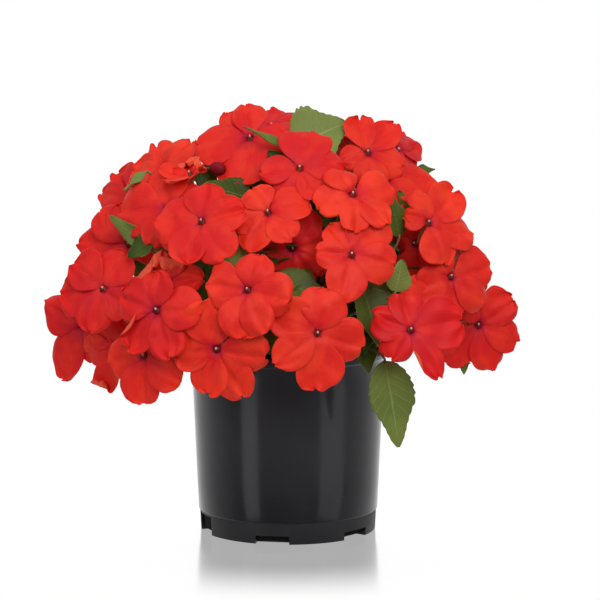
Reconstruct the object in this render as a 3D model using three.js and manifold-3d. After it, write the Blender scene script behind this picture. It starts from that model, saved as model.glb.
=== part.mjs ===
import * as THREE from "three";
import { mergeVertices } from "three/addons/utils/BufferGeometryUtils.js";
import Module from "manifold-3d";

const wasm = await Module();
wasm.setup();

// A busy lizzie in full bloom, planted in a thin black nursery pot.
// Millimetres, +Z up, the plant's front towards -Y, origin in the middle of the pot's base.

const gap = 0.35; // air between pieces that are cut by, or stand in, one another
const roundSides = 24; // facets of the pot and of the soil in it
const weld = 1e-4; // points nearer than this are one point
const smallest = 0.005; // details finer than this are left out of a cut piece

const pot = {
  height: 110,
  baseRadius: 52.7,
  seamHeight: 13, // the foot band ends here, and the wall steps out
  seamStep: 0.7,
  wallTopRadius: 58,
  lipHeight: 5.8,
  lipReach: 1.2,
  wall: 1.4,
  floor: 2,
  chamfer: 0.6,
};

const notch = {
  turns: [-10, 50, 170, 230], // degrees round from the front, positive to the right
  tallTurns: [-70, 110],
  width: 20,
  slant: 1.6, // how much each flank leans in towards the top
  height: 5,
  tallHeight: 11,
  innerRadius: 45,
  below: 1, // how far the cutter starts under the base
};

const soil = { rim: 96, crown: 98.5, shoulder: 0.6, lump: 1.1, lumpsRound: 5, clearance: 3.3 };

const petal = {
  thickness: 0.75,
  widthShare: 1.1, // width over length
  side: [[0.4, 0.6], [0.74, 1], [0.97, 0.58]], // share of length, share of half width
  notchShare: 0.9,
  hubRadius: 4.4, // the petals leave a five-cornered hub round the throat
  widest: 0.7, // radians from the axis to the edge, where neighbours leave room
  apart: 0.25, // half the slit between neighbours
  twist: 0.14, // one edge of each petal stands up and the other down, for each millimetre across
  droop: 2.2, // how far the tip falls back
};

// Behind the hub: radius, height and drop of each ring, down the throat and along the spur.
const throat = { rings: [[1.6, -6.5, 0], [0.8, -17, 5]] };

const leaf = {
  thickness: 0.75,
  rib: [0.04, 0.45, 1],
  side: [[0, 0.07], [0.14, 0.56], [0.4, 1], [0.46, 0.88], [0.74, 0.78]],
  droop: 0.13, // fall of the tip, as a share of the length
  fold: 0.2, // rise of each half from the midrib, for each millimetre across
};

const stem = {
  radius: 2.8,
  footDepth: 18, // how far it stands in the soil
  footAbove: 2, // and how far its straight foot stands out of it
  hole: 3.8, // radius of the hole that it stands in
  sides: 5,
  steps: 4,
  ring: 8, // stems round the middle one
  ringRadius: 19,
  centreRadius: 3,
  firstBranch: 0.35, // share of its length where the lowest stalk leaves it
};
const stalk = { radius: 0.95, sides: 3, steps: 2, rise: 7, straight: 0.4, attach: [0, 4.6, -3.4] };
const petiole = { width: 1.8, thickness: 1.2, steps: 2, straight: 0.3 };

const crown = { centre: 122, radius: 119, height: 122 }; // the blooms lie on this flattened ball
const heart = { tip: 50, tipLift: 22, top: 62, topFrom: 222 }; // where main stems end
const leaves = {
  count: 22,
  goldenAngle: 137.5,
  lowest: 4, // the rise of the lowest and of the highest, in degrees
  highest: 76,
  leastUp: 10, // a leaf faces at least this far up, and then "tilt" more
  tilt: 15,
  fall: 18, // half the arc from root to tip, in degrees
  sway: 6,
  rootReach: 78,
  tipReach: 80,
  layers: 3,
  layerStep: 8,
  width: 34,
  apart: 27, // no hidden leaf lies this near to one that shows
  leastHeight: 113, // no tip of theirs hangs lower
};

// Blooms on the front half. "at" is the throat, "face" the way it looks (degrees to the
// right of the front, degrees up), "petals" the direction and length of each petal, and "bend"
// how far a stalk that has to pass another bloom swings aside and up.
const frontBlooms = [
  { at: [-22, -40, 237], face: [-10, 40], petals: [[104, 26], [131, 28], [186, 33], [270, 33], [345, 23]] },
  { at: [-10, 12, 243], face: [0, 60], petals: [[20, 24], [90, 22], [160, 23], [235, 23], [305, 23]] },
  { at: [-72, -24, 217], face: [-35, 38], petals: [[71, 25], [131, 27], [173, 28], [250, 18], [330, 22]] },
  { at: [-57, -51, 217], face: [-30, 50], petals: [[50, 15], [120, 18], [195, 15], [265, 17], [335, 14]] },
  { at: [-96, 4, 199], face: [-47, 24], petals: [[43, 14], [140, 27], [175, 28], [212, 22], [329, 18]] },
  { at: [-94, -26, 174], face: [-24, 14], petals: [[113, 26], [140, 30], [178, 37], [225, 21], [326, 18]] },
  { at: [-69, -60, 196], face: [-25, 25], petals: [[25, 24], [98, 27], [183, 33], [254, 23], [307, 28]] },
  { at: [-48, -95, 192], face: [-20, 25], petals: [[19, 26], [89, 24], [178, 28], [261, 26], [311, 29]] },
  { at: [7, -75, 221], face: [0, 40], petals: [[4, 26], [80, 29], [185, 23], [250, 24], [300, 25]] },
  { at: [37, -87, 207], face: [20, 35], petals: [[4, 25], [113, 20], [200, 23], [262, 24], [313, 26]] },
  { at: [-11, -92, 197], face: [-10, 30], petals: [[21, 24], [123, 19], [206, 21], [247, 25], [312, 23]] },
  { at: [3, -78, 175], face: [6, -4], petals: [[12, 21], [60, 25], [187, 21], [247, 23], [307, 23]] },
  { at: [36, -102, 174], face: [14, 18], petals: [[51, 30], [125, 21], [173, 20], [251, 29], [345, 26]] },
  { at: [-22, -118, 156], face: [-15, 12], petals: [[77, 21], [173, 24], [264, 27], [295, 27], [345, 26]] },
  { at: [-39, -112, 122], face: [-10, -8], petals: [[101, 29], [187, 25], [254, 27], [296, 32], [351, 29]] },
  { at: [17, -120, 132], face: [8, 2], petals: [[75, 26], [155, 28], [215, 29], [272, 32], [340, 27]] },
  { at: [69, -101, 132], face: [14, 11], petals: [[11, 31], [103, 22], [158, 23], [236, 20], [296, 32]] },
  { at: [113, -21, 125], face: [13, 0], petals: [[34, 27], [113, 19], [232, 30], [286, 29], [340, 28]] },
  {
    at: [81, -62, 189], face: [28, 26], bend: [16, 4],
    petals: [[38, 33], [88, 21], [158, 15], [279, 26], [342, 31]],
  },
  {
    at: [94, -62, 158], face: [26, 11], bend: [4, 16],
    petals: [[8, 29], [121, 16], [197, 23], [272, 26], [321, 28]],
  },
  { at: [73, -44, 175], face: [-27, -14], petals: [[39, 21], [92, 21], [189, 15], [267, 22], [330, 21]] },
  { at: [82, -66, 143], face: [30, 10], petals: [[68, 20], [142, 21], [215, 21], [285, 22], [350, 23]] },
  { at: [47, -32, 228], face: [17, 34], petals: [[47, 28], [94, 25], [195, 17], [265, 23], [341, 23]] },
  { at: [67, 4, 228], face: [56, 32], petals: [[2, 25], [36, 25], [147, 16], [222, 26], [318, 19]] },
  { at: [58, -34, 213], face: [29, 38], petals: [[53, 24], [195, 16], [266, 24], [318, 23], [353, 34]] },
  { at: [-107, -52, 150], face: [-27, 15], petals: [[62, 25], [147, 28], [186, 31], [261, 26], [328, 24]] },
  { at: [-122, -14, 124], face: [-26, 6], petals: [[10, 19], [93, 18], [155, 32], [245, 37], [296, 23]] },
  { at: [-73, -102, 143], face: [-28, 10], petals: [[0, 29], [90, 22], [165, 27], [231, 28], [295, 29]] },
  { at: [-81, -90, 116], face: [-26, 4], petals: [[8, 24], [113, 17], [192, 24], [268, 28], [330, 29]] },
  { at: [-101, -44, 116], face: [-32, -6], petals: [[79, 16], [160, 19], [193, 26], [243, 29], [355, 19]] },
  { at: [-68, -82, 156], face: [-35, 20], petals: [[17, 22], [83, 23], [139, 27], [223, 16], [320, 17]] },
];

// Blooms round the back: turn from the front, height, how far one stands out from the ball,
// and the turn of its first petal.
const backBlooms = [
  { turn: 150, height: 234, out: 0, spin: 10 },
  { turn: -140, height: 232, out: 0, spin: 40 },
  { turn: 116, height: 203, out: 0, spin: 25 },
  { turn: 152, height: 205, out: 3, spin: 5 },
  { turn: -165, height: 205, out: 0, spin: 50 },
  { turn: -120, height: 205, out: 3, spin: 30 },
  { turn: 100, height: 165, out: 0, spin: 60 },
  { turn: 124, height: 167, out: 7, spin: 20 },
  { turn: 153, height: 165, out: 7, spin: 45 },
  { turn: -178, height: 168, out: 7, spin: 0 },
  { turn: -146, height: 164, out: 7, spin: 35 },
  { turn: -114, height: 168, out: 7, spin: 15 },
  { turn: 108, height: 121, out: 0, spin: 40 },
  { turn: 140, height: 124, out: 0, spin: 10 },
  { turn: 172, height: 119, out: 0, spin: 55 },
  { turn: -156, height: 119, out: 0, spin: 25 },
  { turn: -124, height: 118, out: 0, spin: 5 },
];
const backPetals = [27, 25, 28, 26, 29];

// Leaves that show between the blooms. The one that hangs over the rim has its own way there:
// "knee" is the point that its petiole bends towards.
const seenLeaves = [
  { root: [4, -28, 231], tip: [34, -24, 246], width: 38, face: [10, 25] },
  { root: [3, -52, 229], tip: [-22, -62, 245], width: 5, face: [10, 40] },
  { root: [-20, -58, 202], tip: [-46, -68, 212], width: 21, face: [-15, 40] },
  { root: [-78, -52, 172], tip: [-101, -58, 192], width: 11, face: [-40, 30] },
  { root: [-77, -62, 179], tip: [-92, -60, 170], width: 15, face: [-40, 20] },
  { root: [-81, -40, 217], tip: [-95, -44, 208], width: 9, face: [-50, 50] },
  { root: [-17, -86, 177], tip: [-42, -92, 165], width: 12, face: [-20, 30] },
  { root: [-8, -88, 159], tip: [25, -94, 149], width: 22, face: [10, 30] },
  { root: [36, -72, 156], tip: [66, -78, 148], width: 26, face: [25, 0] },
  { root: [55, -80, 112], tip: [65, -84, 63], width: 27, face: [15, 8], knee: [57, -74, 122] },
  { root: [42, -52, 124], tip: [47, -80, 108], width: 16, face: [25, 35] },
  { root: [-14, -92, 135], tip: [-9, -100, 119], width: 14, face: [-10, 20] },
  { root: [101, -14, 125], tip: [107, -18, 96], width: 15, face: [30, 10] },
  { root: [75, -10, 215], tip: [87, -8, 218], width: 8, face: [50, 40] },
  { root: [42, -76, 154], tip: [54, -84, 122], width: 24, face: [40, 10] },
  { root: [61, -80, 151], tip: [65, -82, 169], width: 15, face: [20, 40] },
  { root: [64, -60, 181], tip: [59, -64, 205], width: 14, face: [10, 20] },
  { root: [-48, -40, 206], tip: [-44, -38, 228], width: 13, face: [-10, 20] },
  { root: [8, -52, 216], tip: [-10, -58, 229], width: 15, face: [0, 20] },
  { root: [-73, -45, 149], tip: [-91, -50, 165], width: 17, face: [-30, 10] },
  { root: [73, -40, 190], tip: [65, -42, 206], width: 12, face: [20, 20] },
];

// Buds that show: middle, the way each one points, length and width.
const buds = [{ at: [-40, -50, 219], face: [50, -5], length: 11, width: 8 }];
const budForm = { sides: 6, rings: 4, sink: 0.4 }; // "sink" is how far behind its middle the stalk ends

const scarlet = new THREE.MeshStandardMaterial({ color: 0xe6301f, roughness: 0.6, metalness: 0 });
const deepScarlet = new THREE.MeshStandardMaterial({ color: 0xc9202a, roughness: 0.6, metalness: 0 });
const leafGreen = new THREE.MeshStandardMaterial({ color: 0x3f7a35, roughness: 0.5, metalness: 0 });
const peatBrown = new THREE.MeshStandardMaterial({ color: 0x2f2218, roughness: 1, metalness: 0 });
const blackPlastic = new THREE.MeshStandardMaterial({ color: 0x26262a, roughness: 0.35, metalness: 0 });

const radians = THREE.MathUtils.degToRad;

// Solids from geometries, and back

function stripped(geometry) {
  geometry.deleteAttribute("normal");
  geometry.deleteAttribute("uv");
  return mergeVertices(geometry, weld);
}

function toSolid(geometry) {
  const bare = geometry.attributes.uv ? stripped(geometry) : geometry;
  const vertProperties = new Float32Array(bare.attributes.position.array);
  const triVerts = new Uint32Array(bare.index.array);
  return new wasm.Manifold(new wasm.Mesh({ numProp: 3, vertProperties, triVerts }));
}

function toMesh(solid, name, material) {
  const { vertProperties, triVerts } = solid.getMesh();
  const geometry = new THREE.BufferGeometry();
  geometry.setAttribute("position", new THREE.BufferAttribute(new Float32Array(vertProperties), 3));
  geometry.setIndex(new THREE.BufferAttribute(new Uint32Array(triVerts), 1));
  geometry.computeVertexNormals();
  const mesh = new THREE.Mesh(geometry, material.clone());
  mesh.name = name;
  return mesh;
}

function joined(solids) {
  return solids.reduce((whole, solid) => whole.add(solid));
}

function boxesMeet(a, b) {
  const [p, q] = [a.boundingBox(), b.boundingBox()];
  return [0, 1, 2].every((i) => p.min[i] < q.max[i] && q.min[i] < p.max[i]);
}

// The solid with every room cut out of it; scraps that this cuts loose are dropped.
function clearOf(solid, rooms) {
  const near = rooms.filter((room) => boxesMeet(solid, room));
  const cut = near.reduce((rest, room) => rest.subtract(room), solid);
  const pieces = cut.simplify(smallest).decompose();
  return pieces.reduce((most, piece) => (piece.volume() > most.volume() ? piece : most));
}

// Plates and blades: petals and leaves

// A closed plate from the points and triangles of its upper face. The lower face has its own
// points but the same triangles, so the two never cross. The rim lists the points round it.
function plate(upper, lower, top, rim) {
  const count = upper.length;
  const bottom = top.map(([a, b, c]) => [a + count, c + count, b + count]);
  const wall = wallBetween(rim, rim.map((i) => i + count));
  return { points: [...upper, ...lower], faces: [...top, ...bottom, ...wall] };
}

// Two triangles for each step along two rings of points, the second ring below the first.
function wallBetween(upper, lower) {
  return upper.flatMap((p, i) => {
    const j = (i + 1) % upper.length;
    return [[p, lower[i], lower[j]], [p, lower[j], upper[j]]];
  });
}

function fan(ring) {
  return ring.slice(2).map((_, i) => [ring[0], ring[i + 1], ring[i + 2]]);
}

function shaped({ points, faces }) {
  const geometry = new THREE.BufferGeometry();
  geometry.setAttribute("position", new THREE.Float32BufferAttribute(points.flat(), 3));
  geometry.setIndex(faces.flat());
  return geometry;
}

// The triangles between the rib and one edge of a blade, walking both towards the tip.
function halfFaces(points, rib, edge) {
  const faces = [];
  let i = 0;
  let j = 0;
  while (i < rib.length - 1 || j < edge.length - 1) {
    const ribLeft = i < rib.length - 1;
    const edgeLeft = j < edge.length - 1;
    if (edgeLeft && (!ribLeft || points[edge[j + 1]][0] < points[rib[i + 1]][0])) {
      faces.push([rib[i], edge[j + 1], edge[j]]);
      j += 1;
    } else {
      faces.push([rib[i], rib[i + 1], edge[j]]);
      i += 1;
    }
  }
  return faces;
}

function tube(path, radius, sides, steps) {
  const corners = [];
  for (let i = 0; i < sides; i += 1) {
    const angle = (i / sides) * 2 * Math.PI;
    corners.push(new THREE.Vector2(radius * Math.cos(angle), radius * Math.sin(angle)));
  }
  const section = new THREE.Shape(corners);
  return new THREE.ExtrudeGeometry(section, { steps, bevelEnabled: false, extrudePath: path });
}

// A closed profile of [radius, height] points turned about the vertical.
function turned(profile, sides) {
  const points = profile.map(([r, z]) => new THREE.Vector2(r, z));
  return new THREE.LatheGeometry(points, sides).rotateX(Math.PI / 2);
}

// The pot and its soil

function wallRadius(z) {
  const foot = pot.baseRadius + pot.seamStep;
  return foot + ((pot.wallTopRadius - foot) * z) / (pot.height - pot.lipHeight);
}

function notchCutter(turn, height) {
  const half = notch.width / 2;
  const shape = new THREE.Shape([
    new THREE.Vector2(-half, -notch.below),
    new THREE.Vector2(half, -notch.below),
    new THREE.Vector2(half - notch.slant, height),
    new THREE.Vector2(notch.slant - half, height),
  ]);
  const depth = pot.wallTopRadius - notch.innerRadius;
  const cutter = new THREE.ExtrudeGeometry(shape, { depth, bevelEnabled: false });
  cutter.rotateX(Math.PI / 2).translate(0, -notch.innerRadius, 0);
  return toSolid(cutter.rotateZ(radians(turn)));
}

function potSolid() {
  const lipFoot = pot.height - pot.lipHeight;
  const lipRadius = pot.wallTopRadius + pot.lipReach;
  const c = pot.chamfer;
  const body = toSolid(turned([
    [0, 0],
    [pot.baseRadius - c, 0],
    [pot.baseRadius, c],
    [wallRadius(pot.seamHeight) - pot.seamStep, pot.seamHeight - c],
    [wallRadius(pot.seamHeight), pot.seamHeight],
    [wallRadius(lipFoot), lipFoot],
    [lipRadius, lipFoot + c],
    [lipRadius, pot.height - c],
    [lipRadius - c, pot.height],
    [wallRadius(pot.height) - pot.wall, pot.height],
    [wallRadius(pot.seamHeight) - pot.wall - pot.seamStep, pot.seamHeight],
    [wallRadius(pot.floor) - pot.wall - pot.seamStep, pot.floor],
    [0, pot.floor],
  ], roundSides));
  const low = notch.turns.map((turn) => notchCutter(turn, notch.height));
  const tall = notch.tallTurns.map((turn) => notchCutter(turn, notch.tallHeight));
  return [...low, ...tall].reduce((rest, cutter) => rest.subtract(cutter), body);
}

// Soil fills the pot up to a crown, low lumps round its shoulder, with a plain hole for each stem.
function soilSolid() {
  const inner = (z) => wallRadius(z) - pot.wall - gap;
  const shoulder = inner(soil.rim) * soil.shoulder;
  const ground = turned([
    [0, pot.floor + gap],
    [inner(pot.floor) - pot.seamStep, pot.floor + gap],
    [inner(pot.seamHeight) - pot.seamStep, pot.seamHeight],
    [inner(soil.rim), soil.rim],
    [shoulder, soil.crown],
    [0, soil.crown],
  ], roundSides);
  const place = ground.attributes.position;
  for (let i = 0; i < place.count; i += 1) {
    const [x, y, z] = [place.getX(i), place.getY(i), place.getZ(i)];
    if (z > soil.rim) {
      const swell = Math.sin(Math.atan2(y, x) * soil.lumpsRound) * Math.hypot(x, y) / shoulder;
      place.setZ(i, z + soil.lump * swell);
    }
  }
  const bottom = soil.rim - stem.footDepth - gap;
  const top = soil.crown + soil.clearance;
  const holes = stems.map((_, k) => uprightRod(k, stem.hole, bottom, top));
  return holes.reduce((rest, hole) => rest.subtract(hole), toSolid(ground));
}

// Blooms

// Which way something looks: degrees to the right of the front, and degrees up.
function looking([turn, rise]) {
  const level = Math.cos(radians(rise));
  const x = Math.sin(radians(turn)) * level;
  return new THREE.Vector3(x, -Math.cos(radians(turn)) * level, Math.sin(radians(rise)));
}

// A bloom's own frame: X to its right, Y up along it, Z out of its face.
function bloomFrame({ at, face }) {
  const out = looking(face);
  const right = new THREE.Vector3(0, 0, 1).cross(out).normalize();
  const up = out.clone().cross(right);
  return new THREE.Matrix4().makeBasis(right, up, out).setPosition(...at);
}

// Outline of one petal about its own axis, from the hub round the tip and back. The petal
// keeps to its side of the lines midway to its neighbours, which are "before" and "after" away.
function petalOutline(length, before, after, grow) {
  const reach = length + grow;
  const half = (length * petal.widthShare) / 2 + grow;
  const edge = (spread) => petal.side.map(([along, across]) => {
    const room = along * reach * Math.tan(Math.min(spread, petal.widest)) - petal.apart + grow;
    return [along * reach, Math.min(across * half, room)];
  });
  const right = edge(before).map(([x, y]) => [x, -y]);
  const left = edge(after).toReversed();
  return [...right, [petal.notchShare * reach, 0], ...left];
}

// A bloom facing +Z: a hub with a petal on each of its sides, bent back and twisted, and behind
// the hub the throat, which narrows into the spur.
function bloomShape(petals, grow) {
  const order = petals.map(([turn, length]) => [radians(turn), length]).sort((a, b) => a[0] - b[0]);
  const count = order.length;
  const halfTurn = (i) => {
    const next = order[(i + 1) % count][0] + (i === count - 1 ? 2 * Math.PI : 0);
    return (next - order[i][0]) / 2;
  };
  const corners = order.map(([turn], i) => turn + halfTurn(i));
  const ring = (radius, z, drop = 0) => corners.map((angle) => [
    radius * Math.cos(angle),
    radius * Math.sin(angle) - drop,
    z,
  ]);
  const points = ring(petal.hubRadius + grow, grow);
  const top = [];
  const rim = [];
  order.forEach(([turn, length], i) => {
    const hubRight = (i + count - 1) % count;
    const outline = petalOutline(length, halfTurn(hubRight), halfTurn(i), grow);
    const first = points.length;
    for (const [x, y] of outline) {
      const far = x / length;
      const z = grow + petal.twist * y * far - petal.droop * far * far;
      const [c, s] = [Math.cos(turn), Math.sin(turn)];
      points.push([c * x - s * y, s * x + c * y, z]);
    }
    const [h, a, b, c, tip, d, e, f, k] = [hubRight, ...outline.map((_, j) => first + j), i];
    top.push([h, a, f], [h, f, k], [a, b, e], [a, e, f], [b, c, tip], [b, tip, e], [tip, d, e]);
    rim.push(h, a, b, c, tip, d, e, f);
  });
  const depth = petal.thickness + 2 * grow;
  const body = plate(points, points.map(([x, y, z]) => [x, y, z - depth]), top, rim);
  const hub = corners.map((_, i) => i);
  body.faces.push(...fan(hub));
  let above = hub.map((i) => i + points.length);
  for (const [radius, z, drop] of throat.rings) {
    const below = above.map((_, i) => body.points.length + i);
    body.points.push(...ring(radius + grow, z, drop));
    body.faces.push(...wallBetween(above, below));
    above = below;
  }
  body.faces.push(...fan(above.toReversed()));
  return shaped(body);
}

function bloomSolid(bloom, grow = 0) {
  return toSolid(bloomShape(bloom.petals, grow).applyMatrix4(bloomFrame(bloom)));
}

// A point on the ball of the plant: degrees round from the front, degrees up, distance out.
function onCrown(turn, rise, distance) {
  const out = looking([turn, rise]).multiplyScalar(distance);
  return out.add(new THREE.Vector3(0, 0, crown.centre));
}

function backBloom({ turn, height, out, spin }) {
  const share = (height - crown.centre) / crown.height;
  const reach = crown.radius * Math.sqrt(1 - share * share) + out;
  const rise = THREE.MathUtils.radToDeg(Math.atan2(share, reach / crown.radius));
  const [x, y] = [Math.sin(radians(turn)) * reach, -Math.cos(radians(turn)) * reach];
  const petals = backPetals.map((length, i) => [spin + i * 72, length]);
  return { at: [x, y, height], face: [turn, rise], petals };
}

// Stems, stalks and leaves

function uprightRod(k, radius, bottom, top) {
  const rod = new THREE.CylinderGeometry(radius, radius, top - bottom, stem.sides);
  rod.rotateX(Math.PI / 2).translate(stems[k].foot.x, stems[k].foot.y, (top + bottom) / 2);
  return toSolid(rod);
}

function stemRow(k) {
  const central = k === stem.ring;
  const turn = (k + 0.5) * (360 / stem.ring);
  const reach = central ? stem.centreRadius : stem.ringRadius;
  const foot = looking([turn, 0]).multiplyScalar(reach).setZ(soil.crown);
  const tip = central ? onCrown(0, 90, heart.top) : onCrown(turn, heart.tipLift, heart.tip);
  return { foot, tip };
}

function stemPath(k) {
  const { foot, tip } = stems[k];
  const knee = foot.clone().setZ((foot.z + tip.z) / 2);
  return new THREE.QuadraticBezierCurve3(foot, knee, tip);
}

// The stem that carries a bloom or a leaf.
function stemOf(row) {
  const [x, y, z] = row.at ?? row.root;
  if (z > heart.topFrom) {
    return stem.ring;
  }
  const turn = THREE.MathUtils.radToDeg(Math.atan2(x, -y));
  return Math.floor(THREE.MathUtils.euclideanModulo(turn, 360) / (360 / stem.ring));
}

// Where on its stem each growth of that stem starts: the lowest growth leaves it lowest.
function branchPoint(row) {
  const k = stemOf(row);
  const place = carried[k].indexOf(row) / (carried[k].length - 1);
  return stemPath(k).getPoint(THREE.MathUtils.lerp(stem.firstBranch, 1, place));
}

// From the stem to the back of a bloom, arriving along the bloom's own axis.
function stalkPath(bloom) {
  const start = branchPoint(bloom);
  const frame = bloomFrame(bloom);
  const end = new THREE.Vector3(...bloom.attach ?? stalk.attach).applyMatrix4(frame);
  const span = start.distanceTo(end);
  const [aside, above] = bloom.bend ?? [0, stalk.rise];
  const knee = new THREE.Vector3(aside, above, -span * stalk.straight).applyMatrix4(frame);
  return new THREE.QuadraticBezierCurve3(start, knee, end);
}

// A bud is a plump drop on the end of its stalk.
function budSolid({ length, width, ...place }, grow) {
  const drop = new THREE.SphereGeometry(0.5, budForm.sides, budForm.rings).rotateX(Math.PI / 2);
  drop.scale(width + 2 * grow, width + 2 * grow, length + 2 * grow);
  return toSolid(drop.applyMatrix4(bloomFrame(place)));
}

function leafFrame({ root, tip, face }) {
  const from = new THREE.Vector3(...root);
  const along = new THREE.Vector3(...tip).sub(from).normalize();
  const across = looking(face).cross(along).normalize();
  const out = along.clone().cross(across);
  return new THREE.Matrix4().makeBasis(along, across, out).setPosition(from);
}

// The blade in its own frame, root at the origin and tip along +X: the points of its upper face
// along the rib and both edges, the triangles between them, and which points each edge has.
function bladeOutline(length, width, grow) {
  const bend = (x, y) => grow + leaf.fold * Math.abs(y) - leaf.droop * length * (x / length) ** 2;
  const [reach, half] = [length + grow, width / 2 + grow];
  const rib = leaf.rib.map((share) => [share * reach, 0]);
  const left = leaf.side.map(([along, across]) => [along * reach, across * half]);
  const right = left.map(([x, y]) => [x, -y]);
  const points = [...rib, ...left, ...right].map(([x, y]) => [x, y, bend(x, y)]);
  const ribIds = rib.map((_, i) => i);
  const leftIds = left.map((_, i) => i + rib.length);
  const rightIds = leftIds.map((i) => i + left.length);
  const mirrored = halfFaces(points, ribIds, rightIds).map(([a, b, c]) => [a, c, b]);
  const faces = [...halfFaces(points, ribIds, leftIds), ...mirrored, [0, leftIds[0], rightIds[0]]];
  return { points, faces, tipId: rib.length - 1, leftIds, rightIds };
}

// The way from the stem to the root of a leaf, arriving along its blade or from its knee.
function petiolePath(row) {
  const root = new THREE.Vector3(...row.root);
  const back = new THREE.Vector3(...row.tip).sub(root).multiplyScalar(petiole.straight);
  const knee = row.knee ? new THREE.Vector3(...row.knee) : root.clone().sub(back);
  return new THREE.QuadraticBezierCurve3(branchPoint(row), knee, root);
}

// The four corners of the petiole's section at each step, upper pair and lower pair.
function petioleSections(row, across, grow) {
  const path = petiolePath(row);
  const sections = [];
  for (let i = 0; i < petiole.steps; i += 1) {
    const share = i / petiole.steps;
    const centre = path.getPoint(share);
    const out = path.getTangent(share).cross(across).normalize();
    const wide = across.clone().multiplyScalar(petiole.width / 2 + grow);
    const thick = out.clone().multiplyScalar(petiole.thickness / 2 + grow);
    const [over, under] = [centre.clone().add(thick), centre.clone().sub(thick)];
    sections.push({
      over: [over.clone().sub(wide), over.clone().add(wide)],
      under: [under.clone().sub(wide), under.clone().add(wide)],
    });
  }
  return sections;
}

// One leaf with its petiole, a strip that widens into the blade.
function leafSolid(row, grow = 0) {
  const length = new THREE.Vector3(...row.root).distanceTo(new THREE.Vector3(...row.tip));
  const { points, faces, tipId, leftIds, rightIds } = bladeOutline(length, row.width, grow);
  const frame = leafFrame(row);
  const across = new THREE.Vector3().setFromMatrixColumn(frame, 1);
  const out = new THREE.Vector3().setFromMatrixColumn(frame, 2);
  const depth = out.multiplyScalar(leaf.thickness + 2 * grow);
  const upper = points.map((point) => new THREE.Vector3(...point).applyMatrix4(frame));
  const lower = upper.map((point) => point.clone().sub(depth));

  const pairs = petioleSections(row, across, grow).map(({ over, under }) => {
    upper.push(...over);
    lower.push(...under);
    return [upper.length - 2, upper.length - 1];
  });
  [...pairs.slice(1), [rightIds[0], leftIds[0]]].forEach(([c, d], i) => {
    const [a, b] = pairs[i];
    faces.push([a, c, b], [b, c, d]);
  });
  const rightSide = [...pairs.map(([a]) => a), ...rightIds];
  const leftSide = [...pairs.map(([, b]) => b), ...leftIds];
  const rim = [...rightSide, tipId, ...leftSide.toReversed()];
  const [over, under] = [upper, lower].map((face) => face.map((point) => point.toArray()));
  return toSolid(shaped(plate(over, under, faces, rim)));
}

// The leaves that the blooms mostly cover: spread evenly over the ball by the golden angle.
function hiddenLeaf(i) {
  const share = (i + 0.5) / leaves.count;
  const low = Math.sin(radians(leaves.lowest));
  const high = Math.sin(radians(leaves.highest));
  const rise = THREE.MathUtils.radToDeg(Math.asin(THREE.MathUtils.lerp(low, high, share)));
  const turn = i * leaves.goldenAngle;
  const layer = leaves.layerStep * (i % leaves.layers);
  const sway = leaves.sway * (i % 2 ? 1 : -1);
  const root = onCrown(turn - sway, rise + leaves.fall, leaves.rootReach + layer).toArray();
  const hanging = onCrown(turn + sway, rise - leaves.fall, leaves.tipReach + layer);
  const tip = hanging.setZ(Math.max(hanging.z, leaves.leastHeight)).toArray();
  const up = Math.max(rise, leaves.leastUp) + leaves.tilt;
  return { root, tip, width: leaves.width, face: [turn, up] };
}

function middle({ root, tip }) {
  return new THREE.Vector3(...root).lerp(new THREE.Vector3(...tip), 0.5);
}

// The plant, put together

const stems = [];
for (let k = 0; k <= stem.ring; k += 1) {
  stems.push(stemRow(k));
}

const blooms = [...frontBlooms, ...backBlooms.map(backBloom)];
const leafRows = [...seenLeaves];
for (let i = 0; i < leaves.count; i += 1) {
  const row = hiddenLeaf(i);
  if (seenLeaves.every((seen) => middle(seen).distanceTo(middle(row)) > leaves.apart)) {
    leafRows.push(row);
  }
}

// A bud's stalk runs straight into its back.
const budRows = buds.map((bud) => ({ ...bud, attach: [0, 0, -bud.length * budForm.sink], bend: [0, 0] }));

// What each stem carries, from the lowest up.
const heightOf = (row) => (row.at ?? row.root)[2];
const carried = stems.map((_, k) => [...blooms, ...leafRows, ...budRows]
  .filter((row) => stemOf(row) === k)
  .sort((a, b) => heightOf(a) - heightOf(b)));

// Blooms come first: each keeps clear of those before it in the list.
function settledBlooms() {
  const rooms = blooms.map((bloom) => bloomSolid(bloom, gap));
  const solids = blooms.map((bloom, i) => clearOf(bloomSolid(bloom), rooms.slice(0, i)));
  return { rooms, solids };
}

// One stem with the stalks that leave it and the buds on them, grown by the given amount.
function skeleton(k, grow) {
  const [bottom, top] = [soil.rim - stem.footDepth, soil.crown + stem.footAbove];
  const foot = uprightRod(k, stem.radius + grow, bottom, top);
  const main = tube(stemPath(k), stem.radius + grow, stem.sides, stem.steps);
  const stalks = carried[k].filter((row) => row.at).map(
    (row) => tube(stalkPath(row), stalk.radius + grow, stalk.sides, stalk.steps),
  );
  const drops = carried[k].filter((row) => budRows.includes(row)).map((row) => budSolid(row, grow));
  return joined([foot, ...[main, ...stalks].map(toSolid), ...drops]);
}

function foliage(k, grow) {
  return carried[k].filter((row) => row.root).map((row) => leafSolid(row, grow));
}

// Stems and stalks give way to blooms and to earlier stems, and leaves to all of those.
function leafyStems(bloomRooms) {
  const stemRooms = stems.map((_, k) => skeleton(k, gap));
  const leafRooms = stems.map((_, k) => foliage(k, gap));
  return stems.map((_, k) => {
    const bones = clearOf(skeleton(k, 0), [...bloomRooms, ...stemRooms.slice(0, k)]);
    const others = [...stemRooms.slice(0, k), ...stemRooms.slice(k + 1), ...bloomRooms];
    const earlier = leafRooms.slice(0, k).flat();
    const blades = foliage(k, 0).map((solid) => clearOf(solid, [...others, ...earlier]));
    return clearOf(joined([bones, ...blades]), []);
  });
}

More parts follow.
